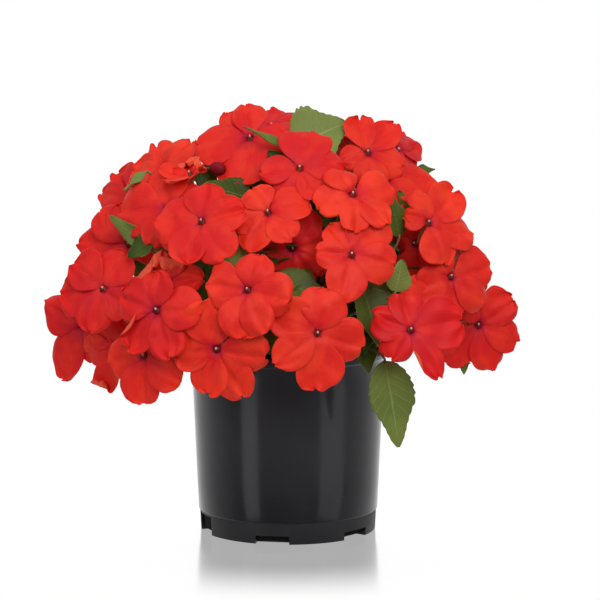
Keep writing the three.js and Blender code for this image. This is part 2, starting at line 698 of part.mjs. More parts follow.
const plant = new THREE.Group();
plant.add(toMesh(potSolid(), "pot", blackPlastic));
plant.add(toMesh(soilSolid(), "soil", peatBrown));

const { rooms, solids } = settledBlooms();
const twoDigits = (i) => String(i + 1).padStart(2, "0");
leafyStems(rooms).forEach((solid, k) => {
  plant.add(toMesh(solid, `leafy_stem_${twoDigits(k)}`, leafGreen));
});
solids.forEach((solid, i) => {
  plant.add(toMesh(solid, `bloom_${twoDigits(i)}`, i % 3 ? scarlet : deepScarlet));
});

export default plant;
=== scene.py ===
import math
import random

import bmesh
import bpy
import numpy as np
from mathutils import Matrix, Vector


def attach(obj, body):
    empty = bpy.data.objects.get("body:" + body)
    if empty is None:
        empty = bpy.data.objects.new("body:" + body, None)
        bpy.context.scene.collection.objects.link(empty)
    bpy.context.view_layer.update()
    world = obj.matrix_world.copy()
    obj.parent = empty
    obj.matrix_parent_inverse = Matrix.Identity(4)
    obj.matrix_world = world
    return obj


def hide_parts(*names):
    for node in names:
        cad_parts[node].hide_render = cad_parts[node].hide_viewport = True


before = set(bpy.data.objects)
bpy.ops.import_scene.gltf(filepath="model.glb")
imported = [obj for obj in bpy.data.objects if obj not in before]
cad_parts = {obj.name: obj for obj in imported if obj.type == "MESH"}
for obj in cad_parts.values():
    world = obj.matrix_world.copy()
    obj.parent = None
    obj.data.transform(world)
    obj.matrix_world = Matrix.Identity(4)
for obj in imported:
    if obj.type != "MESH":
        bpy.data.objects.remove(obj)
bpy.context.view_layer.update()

mm = 0.001  # the plant's tables are in millimetres, everything built from them is in metres
scene = bpy.context.scene
dice = random.Random(11)


def deselectAll():
    if bpy.context.mode != "OBJECT":
        bpy.ops.object.mode_set(mode="OBJECT")
    bpy.ops.object.select_all(action="DESELECT")


def makeActive(piece):
    deselectAll()
    piece.select_set(True)
    bpy.context.view_layer.objects.active = piece


def addShape(name, op, location=(0, 0, 0), **settings):
    # a new piece from one of Blender's own shapes, with its origin at the plant's
    deselectAll()
    op(location=location, **settings)
    piece = bpy.context.active_object
    piece.name = name
    piece.data.name = name
    bpy.ops.object.transform_apply(location=True, rotation=True, scale=True)
    return piece


def copyOf(blank, name):
    piece = blank.copy()
    piece.data = blank.data.copy()
    piece.name = name
    scene.collection.objects.link(piece)
    return piece


def pointsOf(piece):
    flat = np.zeros(len(piece.data.vertices) * 3)
    piece.data.vertices.foreach_get("co", flat)
    return flat.reshape(-1, 3)


def movePoints(piece, points):
    piece.data.vertices.foreach_set("co", np.asarray(points, dtype=np.float32).ravel())
    piece.data.update()


def joinPieces(pieces, name):
    deselectAll()
    for piece in pieces:
        piece.select_set(True)
    bpy.context.view_layer.objects.active = pieces[0]
    bpy.ops.object.join()
    whole = bpy.context.active_object
    whole.name = name
    whole.data.name = name
    return whole


def dropBlank(piece):
    bpy.data.objects.remove(piece)


def selectVerts(piece, wanted):
    # in edit mode: only the vertices that wanted(x, y, z) accepts
    mesh = bmesh.from_edit_mesh(piece.data)
    for vert in mesh.verts:
        vert.select = bool(wanted(*vert.co))
    mesh.select_flush_mode()
    bmesh.update_edit_mesh(piece.data)


def applyAll(piece):
    makeActive(piece)
    for modifier in list(piece.modifiers):
        bpy.ops.object.modifier_apply(modifier=modifier.name)


def thicken(piece, thickness, rim=0):
    # its back takes the second material, and with rim=1 its edge too
    thick = piece.modifiers.new("thickness", "SOLIDIFY")
    thick.thickness = thickness * mm
    thick.offset = -1
    thick.material_offset = 1
    thick.material_offset_rim = rim
    applyAll(piece)


def placedIn(place, points):
    # points in a frame, all in millimetres, as metres of the whole plant
    turn = np.array(place)
    return (points @ turn[:3, :3].T + turn[:3, 3]) * mm


def makeEgg(name, segments, rings, halfSizes, place, material):
    egg = addShape(name, bpy.ops.mesh.primitive_uv_sphere_add, Vector(place) * mm, segments=segments,
                   ring_count=rings, radius=1, scale=Vector(halfSizes) * mm)
    egg.data.materials.append(material)
    return egg


def extrudeRings(rings, bend=None, op=bpy.ops.mesh.extrude_region_move):
    # carries the open edge of a round piece on through rings of (radius, height); bend moves each along Y
    bend = bend or [0] * len(rings)
    for i in range(1, len(rings)):
        (radius, height), (newRadius, newHeight) = rings[i - 1:i + 1]
        op(TRANSFORM_OT_translate={"value": (0, (bend[i] - bend[i - 1]) * mm, (newHeight - height) * mm)})
        scale = newRadius / radius
        bpy.ops.transform.resize(value=(scale, scale, 1), center_override=(0, bend[i] * mm, newHeight * mm))


def closeEnd(inside=False):
    # fills the selected edge, which closes the piece, and leaves edit mode
    bpy.ops.mesh.edge_face_add()
    bpy.ops.mesh.select_all(action="SELECT")
    bpy.ops.mesh.normals_make_consistent(inside=inside)
    bpy.ops.object.mode_set(mode="OBJECT")


def turnRound(name, rings, sides):
    # a closed round piece: a disc below, and rings of (radius, height) from its edge to the last one's disc
    radius, height = rings[0]
    piece = addShape(name, bpy.ops.mesh.primitive_circle_add, (0, 0, height * mm), vertices=sides,
                     radius=radius * mm, fill_type="NGON")
    bpy.ops.object.mode_set(mode="EDIT")
    bpy.ops.mesh.select_mode(type="EDGE")
    bpy.ops.mesh.select_all(action="SELECT")
    extrudeRings(rings[:2], op=bpy.ops.mesh.extrude_edges_move)
    extrudeRings(rings[1:])
    closeEnd()
    return piece


def smooth(piece, degrees=None):
    makeActive(piece)
    if degrees is None:
        bpy.ops.object.shade_smooth()
    else:
        bpy.ops.object.shade_smooth_by_angle(angle=math.radians(degrees))


# Materials

class Nodes:
    # a node tree, with short ways to add and link its nodes

    def __init__(self, tree):
        self.tree = tree

    def add(self, kind, **values):
        node = self.tree.nodes.new("ShaderNode" + kind)
        for key, value in values.items():
            setattr(node, key, value)
        return node

    def link(self, source, target):
        self.tree.links.new(source, target)

    def feed(self, node, index, value):
        # a number, a colour or what another node gives
        if isinstance(value, tuple):
            node.inputs[index].default_value = (*value, 1)
        elif isinstance(value, (int, float)):
            node.inputs[index].default_value = value
        else:
            self.link(value, node.inputs[index])

    def math(self, operation, first, second=0.0, clamp=False):
        node = self.add("Math", operation=operation, use_clamp=clamp)
        self.feed(node, 0, first)
        self.feed(node, 1, second)
        return node.outputs[0]

    def between(self, value, low, high, toLow=0.0, toHigh=1.0, steps="SMOOTHSTEP"):
        node = self.add("MapRange", interpolation_type=steps)
        for index, entry in enumerate((value, low, high, toLow, toHigh)):
            self.feed(node, index, entry)
        return node.outputs[0]

    def apart(self, vector):
        node = self.add("SeparateXYZ")
        self.link(vector, node.inputs[0])
        return node.outputs


class Shader(Nodes):
    # a material, with its Principled node

    def __init__(self, name, roughness, specular=0.5, **sockets):
        self.material = bpy.data.materials.new(name)
        self.material.use_nodes = True
        super().__init__(self.material.node_tree)
        self.principled = self.tree.nodes["Principled BSDF"]
        self.output = self.tree.nodes["Material Output"]
        self.principled.inputs["Roughness"].default_value = roughness
        self.principled.inputs["Specular IOR Level"].default_value = specular
        for socket, value in sockets.items():
            self.principled.inputs[socket].default_value = value

    def mixColour(self, share, first, second):
        node = self.add("Mix", data_type="RGBA")
        for index, value in ((0, share), (6, first), (7, second)):
            self.feed(node, index, value)
        return node.outputs[2]

    def noise(self, vector, scale, detail=3.0, roughness=0.5):
        node = self.add("TexNoise")
        self.link(vector, node.inputs["Vector"])
        node.inputs["Scale"].default_value = scale
        node.inputs["Detail"].default_value = detail
        node.inputs["Roughness"].default_value = roughness
        return node.outputs["Fac"]

    def ramp(self, value, stops):
        node = self.add("ValToRGB")
        points = node.color_ramp.elements
        while len(points) < len(stops):
            points.new(0.5)
        for point, (place, colour) in zip(points, stops):
            point.position = place
            point.color = (*colour, 1)
        self.link(value, node.inputs[0])
        return node.outputs[0]

    def place(self):
        return self.add("TexCoord").outputs["Object"]

    def alongAcross(self):
        # the two directions of a blade's own UV map
        sides = self.apart(self.add("UVMap", uv_map="UVMap").outputs[0])
        return sides[0], sides[1]

    def stretched(self, x, y):
        node = self.add("CombineXYZ")
        self.feed(node, 0, x)
        self.feed(node, 1, y)
        return node.outputs[0]

    def colour(self, source):
        self.feed(self.principled, "Base Color", source)

    def bump(self, height, strength, distance):
        node = self.add("Bump")
        node.inputs["Strength"].default_value = strength
        node.inputs["Distance"].default_value = distance
        self.link(height, node.inputs["Height"])
        self.link(node.outputs[0], self.principled.inputs["Normal"])

    def mixWith(self, share, second):
        mix = self.add("MixShader")
        self.feed(mix, 0, share)
        self.link(self.principled.outputs[0], mix.inputs[1])
        self.link(second.outputs[0], mix.inputs[2])
        self.link(mix.outputs[0], self.output.inputs[0])

    def fadeToWhite(self, near, far, least):
        # partly white near the object's middle, and plain white beyond
        length = self.add("VectorMath", operation="LENGTH")
        self.link(self.place(), length.inputs[0])
        self.mixWith(self.between(length.outputs["Value"], near, far, least), self.add("Emission"))

    def letLightThrough(self, share, colour):
        glow = self.add("BsdfTranslucent")
        self.feed(glow, 0, colour)
        self.mixWith(share, glow)


petalFinish = {
    "stops": [
        (0.0, (0.27, 0.006, 0.036)),
        (0.04, (0.47, 0.009, 0.040)),
        (0.085, (0.66, 0.011, 0.026)),
        (0.19, (0.79, 0.018, 0.017)),
        (0.75, (0.86, 0.025, 0.014)),
    ],
    # a tint, and where a noise brings it in: from, to, least share, most share
    "vein": ((0.52, 0.004, 0.018), (0.50, 0.72, 0, 0.34)),
    "cloud": ((0.96, 0.050, 0.022), (0.42, 0.62, 0, 0.6)),
    "patch": ((0.60, 0.006, 0.02), (0.5, 0.72, 0, 0.3)),
    # rim: a painted highlight, a lighter tone along the margin where edges catch light
    "rim": (0.92, 0.12, 0.08), "glow": (0.95, 0.03, 0.02),
    "back": (1.0, 0.17, 0.08), "backVein": (0.92, 0.09, 0.045), "backGlow": (1.0, 0.12, 0.04),
    "streaks": 30,  # fine veins side by side across a petal
    "hues": (0.498, 0.502), "brightness": (0.90, 1.06),  # from one bloom to another
}


def petalVeins(face, along, across):
    streaks = face.math("MULTIPLY", across, petalFinish["streaks"])
    return face.noise(face.stretched(face.math("MULTIPLY", along, 1.6), streaks), 1.0, detail=4)


def petalMaterial():
    finish = petalFinish
    face = Shader("velvet scarlet", roughness=0.5, IOR=1.27)
    along, across = face.alongAcross()
    place = face.place()
    veins = petalVeins(face, along, across)
    colour = face.ramp(along, finish["stops"])
    cloud = face.noise(place, 70, detail=4)
    patch = face.noise(place, 170, detail=5, roughness=0.65)
    for layer, pattern in (("vein", veins), ("cloud", cloud), ("patch", patch)):
        tint, span = finish[layer]
        colour = face.mixColour(face.between(pattern, *span), colour, tint)
    fromMiddle = face.math("ABSOLUTE", face.math("SUBTRACT", across, 0.5))
    # painted highlight: the margin and the tip are mixed towards the lighter rim tone
    rim = face.math("MAXIMUM", face.between(fromMiddle, 0.475, 0.5), face.between(along, 0.955, 1.0))
    colour = face.mixColour(face.math("MULTIPLY", rim, 0.2), colour, finish["rim"])
    tone = face.add("HueSaturation")
    chance = face.add("ObjectInfo").outputs["Random"]
    face.feed(tone, 0, face.between(chance, 0, 1, *finish["hues"]))
    face.feed(tone, 2, face.between(chance, 0, 1, *finish["brightness"]))
    face.link(colour, tone.inputs["Color"])
    face.colour(tone.outputs[0])
    grain = face.noise(place, 2600, detail=2)
    face.bump(face.math("ADD", veins, face.math("MULTIPLY", grain, 0.35)), 0.3, 0.0004)
    face.letLightThrough(0.18, finish["glow"])
    return face.material


def petalBackMaterial():
    finish = petalFinish
    face = Shader("petal back", roughness=0.6, IOR=1.27)
    veins = petalVeins(face, *face.alongAcross())
    face.colour(face.mixColour(face.between(veins, 0.35, 0.75), finish["back"], finish["backVein"]))
    face.bump(veins, 0.3, 0.0004)
    face.letLightThrough(0.35, finish["backGlow"])
    return face.material


def plainMaterial(name, colour, second, scale, roughness, specular=0.4, glow=None):
    # two tones of one colour, clouded together
    face = Shader(name, roughness=roughness, specular=specular)
    cloud = face.noise(face.place(), scale, detail=4)
    face.colour(face.mixColour(face.between(cloud, 0.35, 0.65), colour, second))
    face.bump(face.noise(face.place(), scale * 6), 0.15, 0.0003)
    if glow:
        face.letLightThrough(0.2, glow)
    return face.material


leafFinish = {
    "dark": (0.030, 0.056, 0.006), "light": (0.110, 0.150, 0.014), "vein": (0.20, 0.26, 0.07),
    "palest": (0.40, 0.50, 0.12), "palestVein": (0.66, 0.74, 0.36),
    "glow": (0.22, 0.42, 0.04),
    "veinPairs": 7,
    "veinSlant": 1.9,  # how far a side vein runs forward on its way to the edge
}


def leafMaterial(name, lighter):
    # "lighter" is 0 for a deep green leaf, and 1 for the palest
    finish = leafFinish
    face = Shader(name, roughness=0.45, specular=0.22)
    along, across = face.alongAcross()
    fromRib = face.math("MULTIPLY", face.math("ABSOLUTE", face.math("SUBTRACT", across, 0.5)), 2.0)
    slanted = face.math("MULTIPLY", fromRib, finish["veinSlant"])
    bent = face.math("SUBTRACT", face.math("MULTIPLY", along, finish["veinPairs"] + 1.5), slanted)
    sideVein = face.between(face.math("PINGPONG", bent, 0.5), 0.0, 0.07, 1, 0)
    sideVein = face.math("MULTIPLY", sideVein, face.between(fromRib, 0.85, 1.0, 0.75, 0))
    vein = face.math("MAXIMUM", face.between(fromRib, 0.015, 0.055, 1, 0), sideVein)
    cells = face.stretched(face.math("MULTIPLY", along, 30), face.math("MULTIPLY", across, 22))
    net = face.noise(cells, 1.0, detail=5)
    cloud = face.noise(face.place(), 38)
    body = face.mixColour(face.between(cloud, 0.3, 0.7), finish["dark"], finish["light"])
    body = face.mixColour(face.between(net, 0.45, 0.7, 0, 0.3), body, finish["light"])
    body = face.mixColour(lighter, body, finish["palest"])
    veinColour = face.mixColour(lighter, finish["vein"], finish["palestVein"])
    face.colour(face.mixColour(face.math("MULTIPLY", vein, 0.55), body, veinColour))
    height = face.math("SUBTRACT", face.math("MULTIPLY", net, 0.5), face.math("MULTIPLY", vein, 0.8))
    face.bump(height, 0.5, 0.0006)
    face.letLightThrough(0.2, finish["glow"])
    return face.material


potFinish = {
    "black": (0.0082, 0.0079, 0.0098), "paintedLightAndStains": (0.0264, 0.0256, 0.0309),
    "paintedLightRise": (0.002, 0.075),  # metres up the wall, over which black turns to the lighter tone: painted light, the top painted lighter than the foot
    "roughness": 0.15, "scuffed": 0.08,
    "footRougher": 0.35, "footEnd": (0.0118, 0.0132),  # the foot, below the seam, is rougher
}


def potMaterial():
    finish = potFinish
    face = Shader("black nursery plastic", roughness=finish["roughness"], specular=0.45)
    place = face.place()
    height = face.apart(place)[2]
    cloud = face.noise(place, 24, detail=5)
    stains = face.between(cloud, 0.4, 0.75, -0.08, 0.08)
    # painted light: the wall is painted lighter towards the top, and the stains cloud it
    paintedLightAndStains = face.math("ADD", face.between(height, *finish["paintedLightRise"]), stains, clamp=True)
    face.colour(face.mixColour(paintedLightAndStains, finish["black"], finish["paintedLightAndStains"]))
    scuffs = face.noise(place, 60, detail=4)
    rough = face.between(scuffs, 0.35, 0.75, finish["roughness"], finish["roughness"] + finish["scuffed"])
    footRough = face.between(height, *finish["footEnd"], finish["footRougher"], 0)
    face.link(face.math("ADD", rough, footRough), face.principled.inputs["Roughness"])
    face.bump(cloud, 0.04, 0.0004)
    return face.material


soilFinish = {
    "stops": [(0.3, (0.006, 0.004, 0.003)), (0.5, (0.03, 0.018, 0.011)), (0.72, (0.10, 0.066, 0.04))],
    "deep": (0.0035, 0.003, 0.0025), "paintedShadeToTop": (0.03, 0.09),  # metres up, over which the painted shade low in the pot gives way to the soil's own colour
}


def soilMaterial():
    finish = soilFinish
    face = Shader("peat mix", roughness=0.95, specular=0.2)
    place = face.place()
    crumbs = face.noise(place, 260, detail=6, roughness=0.7)
    height = face.apart(place)[2]
    top = face.ramp(crumbs, finish["stops"])
    # painted shade: the soil low in the pot, seen through the notches, is painted near black
    face.colour(face.mixColour(face.between(height, *finish["paintedShadeToTop"]), finish["deep"], top))
    face.bump(crumbs, 0.9, 0.002)
    return face.material


# Where everything grows, in millimetres: the plant's front looks along -Y, the pot stands on z = 0.

crown = {"centre": 122, "radius": 119, "height": 122}  # the blooms lie on this flattened ball
heart = {"tip": 50, "tipLift": 22, "top": 62, "topFrom": 222}  # where main stems end
mainStem = {
    "ring": 8, "ringRadius": 19, "centreRadius": 3, "footHeight": 98.5, "depth": 18,
    "firstBranch": 0.35, "radius": 2.8, "taper": (1, 0.9, 0.6),
}
stalkWay = {"rise": 7, "straight": 0.4, "attach": (0, 4.6, -3.4), "radius": 0.85, "taper": (1.25, 1, 0.9)}
petioleWay = {"straight": 0.3, "radius": 0.85, "taper": (1.3, 1, 0.8), "sunk": 0.03}

# throat, way it looks (degrees right of the front, degrees up), direction and length of each petal,
# and the bend of its stalk where that differs
frontBlooms = [
    ((-22, -40, 237), (-10, 40), [(104, 26), (131, 28), (186, 33), (270, 33), (345, 23)]),
    ((-10, 12, 243), (0, 60), [(20, 24), (90, 22), (160, 23), (235, 23), (305, 23)]),
    ((-72, -24, 217), (-35, 38), [(71, 25), (131, 27), (173, 28), (250, 18), (330, 22)]),
    ((-57, -51, 217), (-30, 50), [(50, 15), (120, 18), (195, 15), (265, 17), (335, 14)]),
    ((-96, 4, 199), (-47, 24), [(43, 14), (140, 27), (175, 28), (212, 22), (329, 18)]),
    ((-94, -26, 174), (-24, 14), [(113, 26), (140, 30), (178, 37), (225, 21), (326, 18)]),
    ((-69, -60, 196), (-25, 25), [(25, 24), (98, 27), (183, 33), (254, 23), (307, 28)]),
    ((-48, -95, 192), (-20, 25), [(19, 26), (89, 24), (178, 28), (261, 26), (311, 29)]),
    ((7, -75, 221), (0, 40), [(4, 26), (80, 29), (185, 23), (250, 24), (300, 25)]),
    ((37, -87, 207), (20, 35), [(4, 25), (113, 20), (200, 23), (262, 24), (313, 26)]),
    ((-11, -92, 197), (-10, 30), [(21, 24), (123, 19), (206, 21), (247, 25), (312, 23)]),
    ((3, -78, 175), (6, -4), [(12, 21), (60, 25), (187, 21), (247, 23), (307, 23)]),
    ((36, -102, 174), (14, 18), [(51, 30), (125, 21), (173, 20), (251, 29), (345, 26)]),
    ((-22, -118, 156), (-15, 12), [(77, 21), (173, 24), (264, 27), (295, 27), (345, 26)]),
    ((-39, -112, 122), (-10, -8), [(101, 29), (187, 25), (254, 27), (296, 32), (351, 29)]),
    ((17, -120, 132), (8, 2), [(75, 26), (155, 28), (215, 29), (272, 32), (340, 27)]),
    ((69, -101, 132), (14, 11), [(11, 31), (103, 22), (158, 23), (236, 20), (296, 32)]),
    ((113, -21, 125), (13, 0), [(34, 27), (113, 19), (232, 30), (286, 29), (340, 28)]),
    ((81, -62, 189), (28, 26), [(38, 33), (88, 21), (158, 15), (279, 26), (342, 31)], (16, 4)),
    ((94, -62, 158), (26, 11), [(8, 29), (121, 16), (197, 23), (272, 26), (321, 28)], (4, 16)),
    ((73, -44, 175), (-27, -14), [(39, 21), (92, 21), (189, 15), (267, 22), (330, 21)]),
    ((82, -66, 143), (30, 10), [(68, 20), (142, 21), (215, 21), (285, 22), (350, 23)]),
    ((47, -32, 228), (17, 34), [(47, 28), (94, 25), (195, 17), (265, 23), (341, 23)]),
    ((67, 4, 228), (56, 32), [(2, 25), (36, 25), (147, 16), (222, 26), (318, 19)]),
    ((58, -34, 213), (29, 38), [(53, 24), (195, 16), (266, 24), (318, 23), (353, 34)]),
    ((-107, -52, 150), (-27, 15), [(62, 25), (147, 28), (186, 31), (261, 26), (328, 24)]),
    ((-122, -14, 124), (-26, 6), [(10, 19), (93, 18), (155, 32), (245, 37), (296, 23)]),
    ((-73, -102, 143), (-28, 10), [(0, 29), (90, 22), (165, 27), (231, 28), (295, 29)]),
    ((-81, -90, 116), (-26, 4), [(8, 24), (113, 17), (192, 24), (268, 28), (330, 29)]),
    ((-101, -44, 116), (-32, -6), [(79, 16), (160, 19), (193, 26), (243, 29), (355, 19)]),
    ((-68, -82, 156), (-35, 20), [(17, 22), (83, 23), (139, 27), (223, 16), (320, 17)]),
]

# turn from the front, height, how far one stands out from the ball, turn of its first petal
backBlooms = [
    (150, 234, 0, 10), (-140, 232, 0, 40),
    (116, 203, 0, 25), (152, 205, 3, 5), (-165, 205, 0, 50), (-120, 205, 3, 30),
    (100, 165, 0, 60), (124, 167, 7, 20), (153, 165, 7, 45),
    (-178, 168, 7, 0), (-146, 164, 7, 35), (-114, 168, 7, 15),
    (108, 121, 0, 40), (140, 124, 0, 10), (172, 119, 0, 55), (-156, 119, 0, 25), (-124, 118, 0, 5),
]
backPetals = [27, 25, 28, 26, 29]

# root, tip, width, way it faces, knee of its petiole: the leaves that show between the blooms
seenLeaves = [
    ((4, -28, 231), (34, -24, 246), 38, (10, 25)),
    ((3, -52, 229), (-22, -62, 245), 5, (10, 40)),
    ((-20, -58, 202), (-46, -68, 212), 21, (-15, 40)),
    ((-78, -52, 172), (-101, -58, 192), 11, (-40, 30)),
    ((-77, -62, 179), (-92, -60, 170), 15, (-40, 20)),
    ((-81, -40, 217), (-95, -44, 208), 9, (-50, 50)),
    ((-17, -86, 177), (-42, -92, 165), 12, (-20, 30)),
    ((-8, -88, 159), (25, -94, 149), 22, (10, 30)),
    ((36, -72, 156), (66, -78, 148), 26, (25, 0)),
    ((55, -80, 112), (65, -84, 63), 27, (15, 8), (57, -74, 122)),
    ((42, -52, 124), (47, -80, 108), 16, (25, 35)),
    ((-14, -92, 135), (-9, -100, 119), 14, (-10, 20)),
    ((101, -14, 125), (107, -18, 96), 15, (30, 10)),
    ((75, -10, 215), (87, -8, 218), 8, (50, 40)),
    ((42, -76, 154), (54, -84, 122), 24, (40, 10)),
    ((61, -80, 151), (65, -82, 169), 15, (20, 40)),
    ((64, -60, 181), (59, -64, 205), 14, (10, 20)),
    ((-48, -40, 206), (-44, -38, 228), 13, (-10, 20)),
    ((8, -52, 216), (-10, -58, 229), 15, (0, 20)),
    ((-73, -45, 149), (-91, -50, 165), 17, (-30, 10)),
    ((73, -40, 190), (65, -42, 206), 12, (20, 20)),
]
# lit and shaded copies of one leaf finish: painted light on the sunlit and pale leaves, painted shade on the
# shaded ones
leafLooks = {"sunlitLeaf": (1, 3, 9), "paintedLightLeaf": (0, 5, 6, 15), "shadedLeaf": (2, 4, 16, 17, 18, 19, 20)}
# middle, way it points, length, width
buds = [((-40, -50, 219), (50, -5), 11, 8)]
budSunk = 0.4  # its stalk ends inside it, at this share of its length from its middle
hiddenLeaves = {
    "count": 22, "goldenAngle": 137.5, "lowest": 4, "highest": 76, "leastUp": 10, "tilt": 15,
    "fall": 18, "sway": 6, "rootReach": 78, "tipReach": 80, "layers": 3, "layerStep": 8, "width": 34,
    "apart": 27,  # one that comes nearer to a leaf above is left out
    "leastHeight": 113,  # no tip hangs lower
}


def looking(turn, rise):
    level = math.cos(math.radians(rise))
    x = math.sin(math.radians(turn)) * level
    return Vector((x, -math.cos(math.radians(turn)) * level, math.sin(math.radians(rise))))


def onCrown(turn, rise, distance):
    return looking(turn, rise) * distance + Vector((0, 0, crown["centre"]))


def frameOf(x, y, z, origin):
    columns = Matrix((x, y, z)).transposed().to_4x4()
    columns.translation = origin
    return columns


def bloomFrame(bloom):
    out = looking(*bloom["face"])
    right = Vector((0, 0, 1)).cross(out).normalized()
    return frameOf(right, out.cross(right), out, Vector(bloom["at"]))


def leafFrame(leaf):
    along = (leaf["tip"] - leaf["root"]).normalized()
    across = looking(*leaf["face"]).cross(along).normalized()
    return frameOf(along, across, along.cross(across), leaf["root"])


def backBloom(turn, height, out, spin):
    share = (height - crown["centre"]) / crown["height"]
    reach = crown["radius"] * math.sqrt(1 - share * share) + out
    rise = math.degrees(math.atan2(share, reach / crown["radius"]))
    spot = (math.sin(math.radians(turn)) * reach, -math.cos(math.radians(turn)) * reach, height)
    return spot, (turn, rise), [(spin + 72 * i, length) for i, length in enumerate(backPetals)]


def hiddenLeaf(i):
    know = hiddenLeaves
    share = (i + 0.5) / know["count"]
    low, high = (math.sin(math.radians(know[end])) for end in ("lowest", "highest"))
    rise = math.degrees(math.asin(low + (high - low) * share))
    turn = i * know["goldenAngle"]
    layer = know["layerStep"] * (i % know["layers"])
    sway = know["sway"] * (1 if i % 2 else -1)
    root = onCrown(turn - sway, rise + know["fall"], know["rootReach"] + layer)
    tip = onCrown(turn + sway, rise - know["fall"], know["tipReach"] + layer)
    tip.z = max(tip.z, know["leastHeight"])
    return root, tip, know["width"], (turn, max(rise, know["leastUp"]) + know["tilt"])


def stemRow(k):
    central = k == mainStem["ring"]
    turn = (k + 0.5) * (360 / mainStem["ring"])
    foot = looking(turn, 0) * (mainStem["centreRadius"] if central else mainStem["ringRadius"])
    foot.z = mainStem["footHeight"]
    tip = onCrown(0, 90, heart["top"]) if central else onCrown(turn, heart["tipLift"], heart["tip"])
    return foot, Vector((foot.x, foot.y, (foot.z + tip.z) / 2)), tip


def stemOf(spot):
    if spot[2] > heart["topFrom"]:
        return mainStem["ring"]
    turn = math.degrees(math.atan2(spot[0], -spot[1])) % 360
    return int(turn // (360 / mainStem["ring"]))


def onBend(way, share):
    # a point and the direction at a share of a quadratic bend: start, knee, end
    start, knee, end = way
    point = start * (1 - share) ** 2 + knee * 2 * share * (1 - share) + end * share ** 2
    heading = (knee - start) * (1 - share) + (end - knee) * share
    return point, heading.normalized()


stems = [stemRow(k) for k in range(mainStem["ring"] + 1)]

blooms = []
for at, face, petals, *bend in frontBlooms + [backBloom(*row) for row in backBlooms]:
    blooms.append({"at": Vector(at), "spot": at, "face": face, "petals": petals,
                   "bend": bend[0] if bend else (0, stalkWay["rise"])})

budRows = []
for at, face, length, width in buds:
    budRows.append({"at": Vector(at), "spot": at, "face": face, "length": length, "width": width})

leafRows = []
for i, (root, tip, width, face, *knee) in enumerate(seenLeaves):
    look = next((look for look, rows in leafLooks.items() if i in rows), "leaf")
    leafRows.append({"root": Vector(root), "tip": Vector(tip), "width": width, "face": face,
                     "spot": root, "look": look})
    if knee:
        leafRows[-1]["knee"] = Vector(knee[0])
seenMiddles = [(leaf["root"] + leaf["tip"]) / 2 for leaf in leafRows]
for i in range(hiddenLeaves["count"]):
    root, tip, width, face = hiddenLeaf(i)
    if min((seen - (root + tip) / 2).length for seen in seenMiddles) > hiddenLeaves["apart"]:
        leafRows.append({"root": root, "tip": tip, "width": width, "face": face,
                         "spot": tuple(root), "look": "shadedLeaf"})

# what each stem carries leaves it from the lowest up
for k, way in enumerate(stems):
    carried = [row for row in blooms + leafRows + budRows if stemOf(row["spot"]) == k]
    carried.sort(key=lambda row: row["spot"][2])
    for place, row in enumerate(carried):
        share = mainStem["firstBranch"] + (1 - mainStem["firstBranch"]) * place / (len(carried) - 1)
        row["stem"] = k
        row["start"] = onBend(way, share)[0]


def addBlade(name, rows, columns):
    return addShape(name, bpy.ops.mesh.primitive_grid_add, x_subdivisions=rows, y_subdivisions=columns,
                    size=1)


def shapeBlade(blank, grid, halfAt, materials):
    # a flat grid becomes a blade one long: at each share of its length, its half width is what halfAt says
    grid[:, 1] *= 2  # now along runs from 0 to 1, and across from -1 to 1
    movePoints(blank, grid)
    bpy.ops.object.mode_set(mode="EDIT")
    for along in sorted(set(np.round(grid[:, 0], 5))):
        selectVerts(blank, lambda x, y, z: abs(x - along) < 1e-3)
        bpy.ops.transform.resize(value=(1, halfAt(along), 1), center_override=(along, 0, 0))
    bpy.ops.object.mode_set(mode="OBJECT")
    for material in materials:
        blank.data.materials.append(material)
    smooth(blank)
    return blank, (grid[:, 0].copy(), grid[:, 1].copy(), pointsOf(blank))


# Petals: one flat blank, then each petal is a copy that is sized, bent and ruffled

petalForm = {
    "grid": (19, 26), "crowding": 1.5,  # rows and columns; the rows stand closer towards the tip
    # where it is widest, how it narrows to its base, how full it ends
    "widest": 0.57, "claw": 0.92, "fullness": 2.5,
    "notch": 0.07, "notchWidth": 0.13, "middle": 0.42,
    "start": 1.05,  # radius at which the petal leaves the throat
    "baseHalf": 2.2, "dip": 2.6, "dipReach": 1.6,  # its base dips into the throat
    "ruffle": 0.038, "crinkle": 0.010, "fringe": 0.3,  # in and out along the margin, and up and down
    "groove": 2.0, "fullCurl": 2.85,  # half width of the groove, radians that an edge curls at most
    "least": 0.38, "half": 0.55,  # least and most half width, as a share of the length
    "spread": 0.57, "overlap": 0.06,  # share of the room by a neighbour, how far it passes the midway line
    "widestTurn": 0.8,  # radians, the most room that counts
    "lift": 0.13,  # rise of the edge that lies over a neighbour, for each millimetre across
    "thickness": 0.42,
}


def petalHalf(place):
    # half width, as a share of the widest, at a share of the petal's length
    widest = petalForm["widest"]
    if place < widest:
        return max(math.sin(math.pi / 2 * place / widest), 0.001) ** petalForm["claw"]
    return max(1 - ((place - widest) / (1 - widest)) ** petalForm["fullness"], 0.03) ** 0.5


def makePetalBlank(materials):
    blank = addBlade("petalBlank", *petalForm["grid"])
    grid = pointsOf(blank) + [0.5, 0, 0]
    grid[:, 0] = 1 - (1 - np.clip(grid[:, 0], 0, 1)) ** petalForm["crowding"]
    return shapeBlade(blank, grid, petalHalf, materials)


def curled(reach, brink, radius):
    # all that reaches past the brink curls over and then lies flat on itself: new reach, and how far it rises
    past = np.clip(reach - brink, 0, None)
    turn = np.minimum(past / radius, petalForm["fullCurl"])
    rest = past - turn * radius
    rise = radius * (1 - np.cos(turn)) + rest * np.sin(turn)
    return np.where(past > 0, brink + radius * np.sin(turn) + rest * np.cos(turn), reach), rise


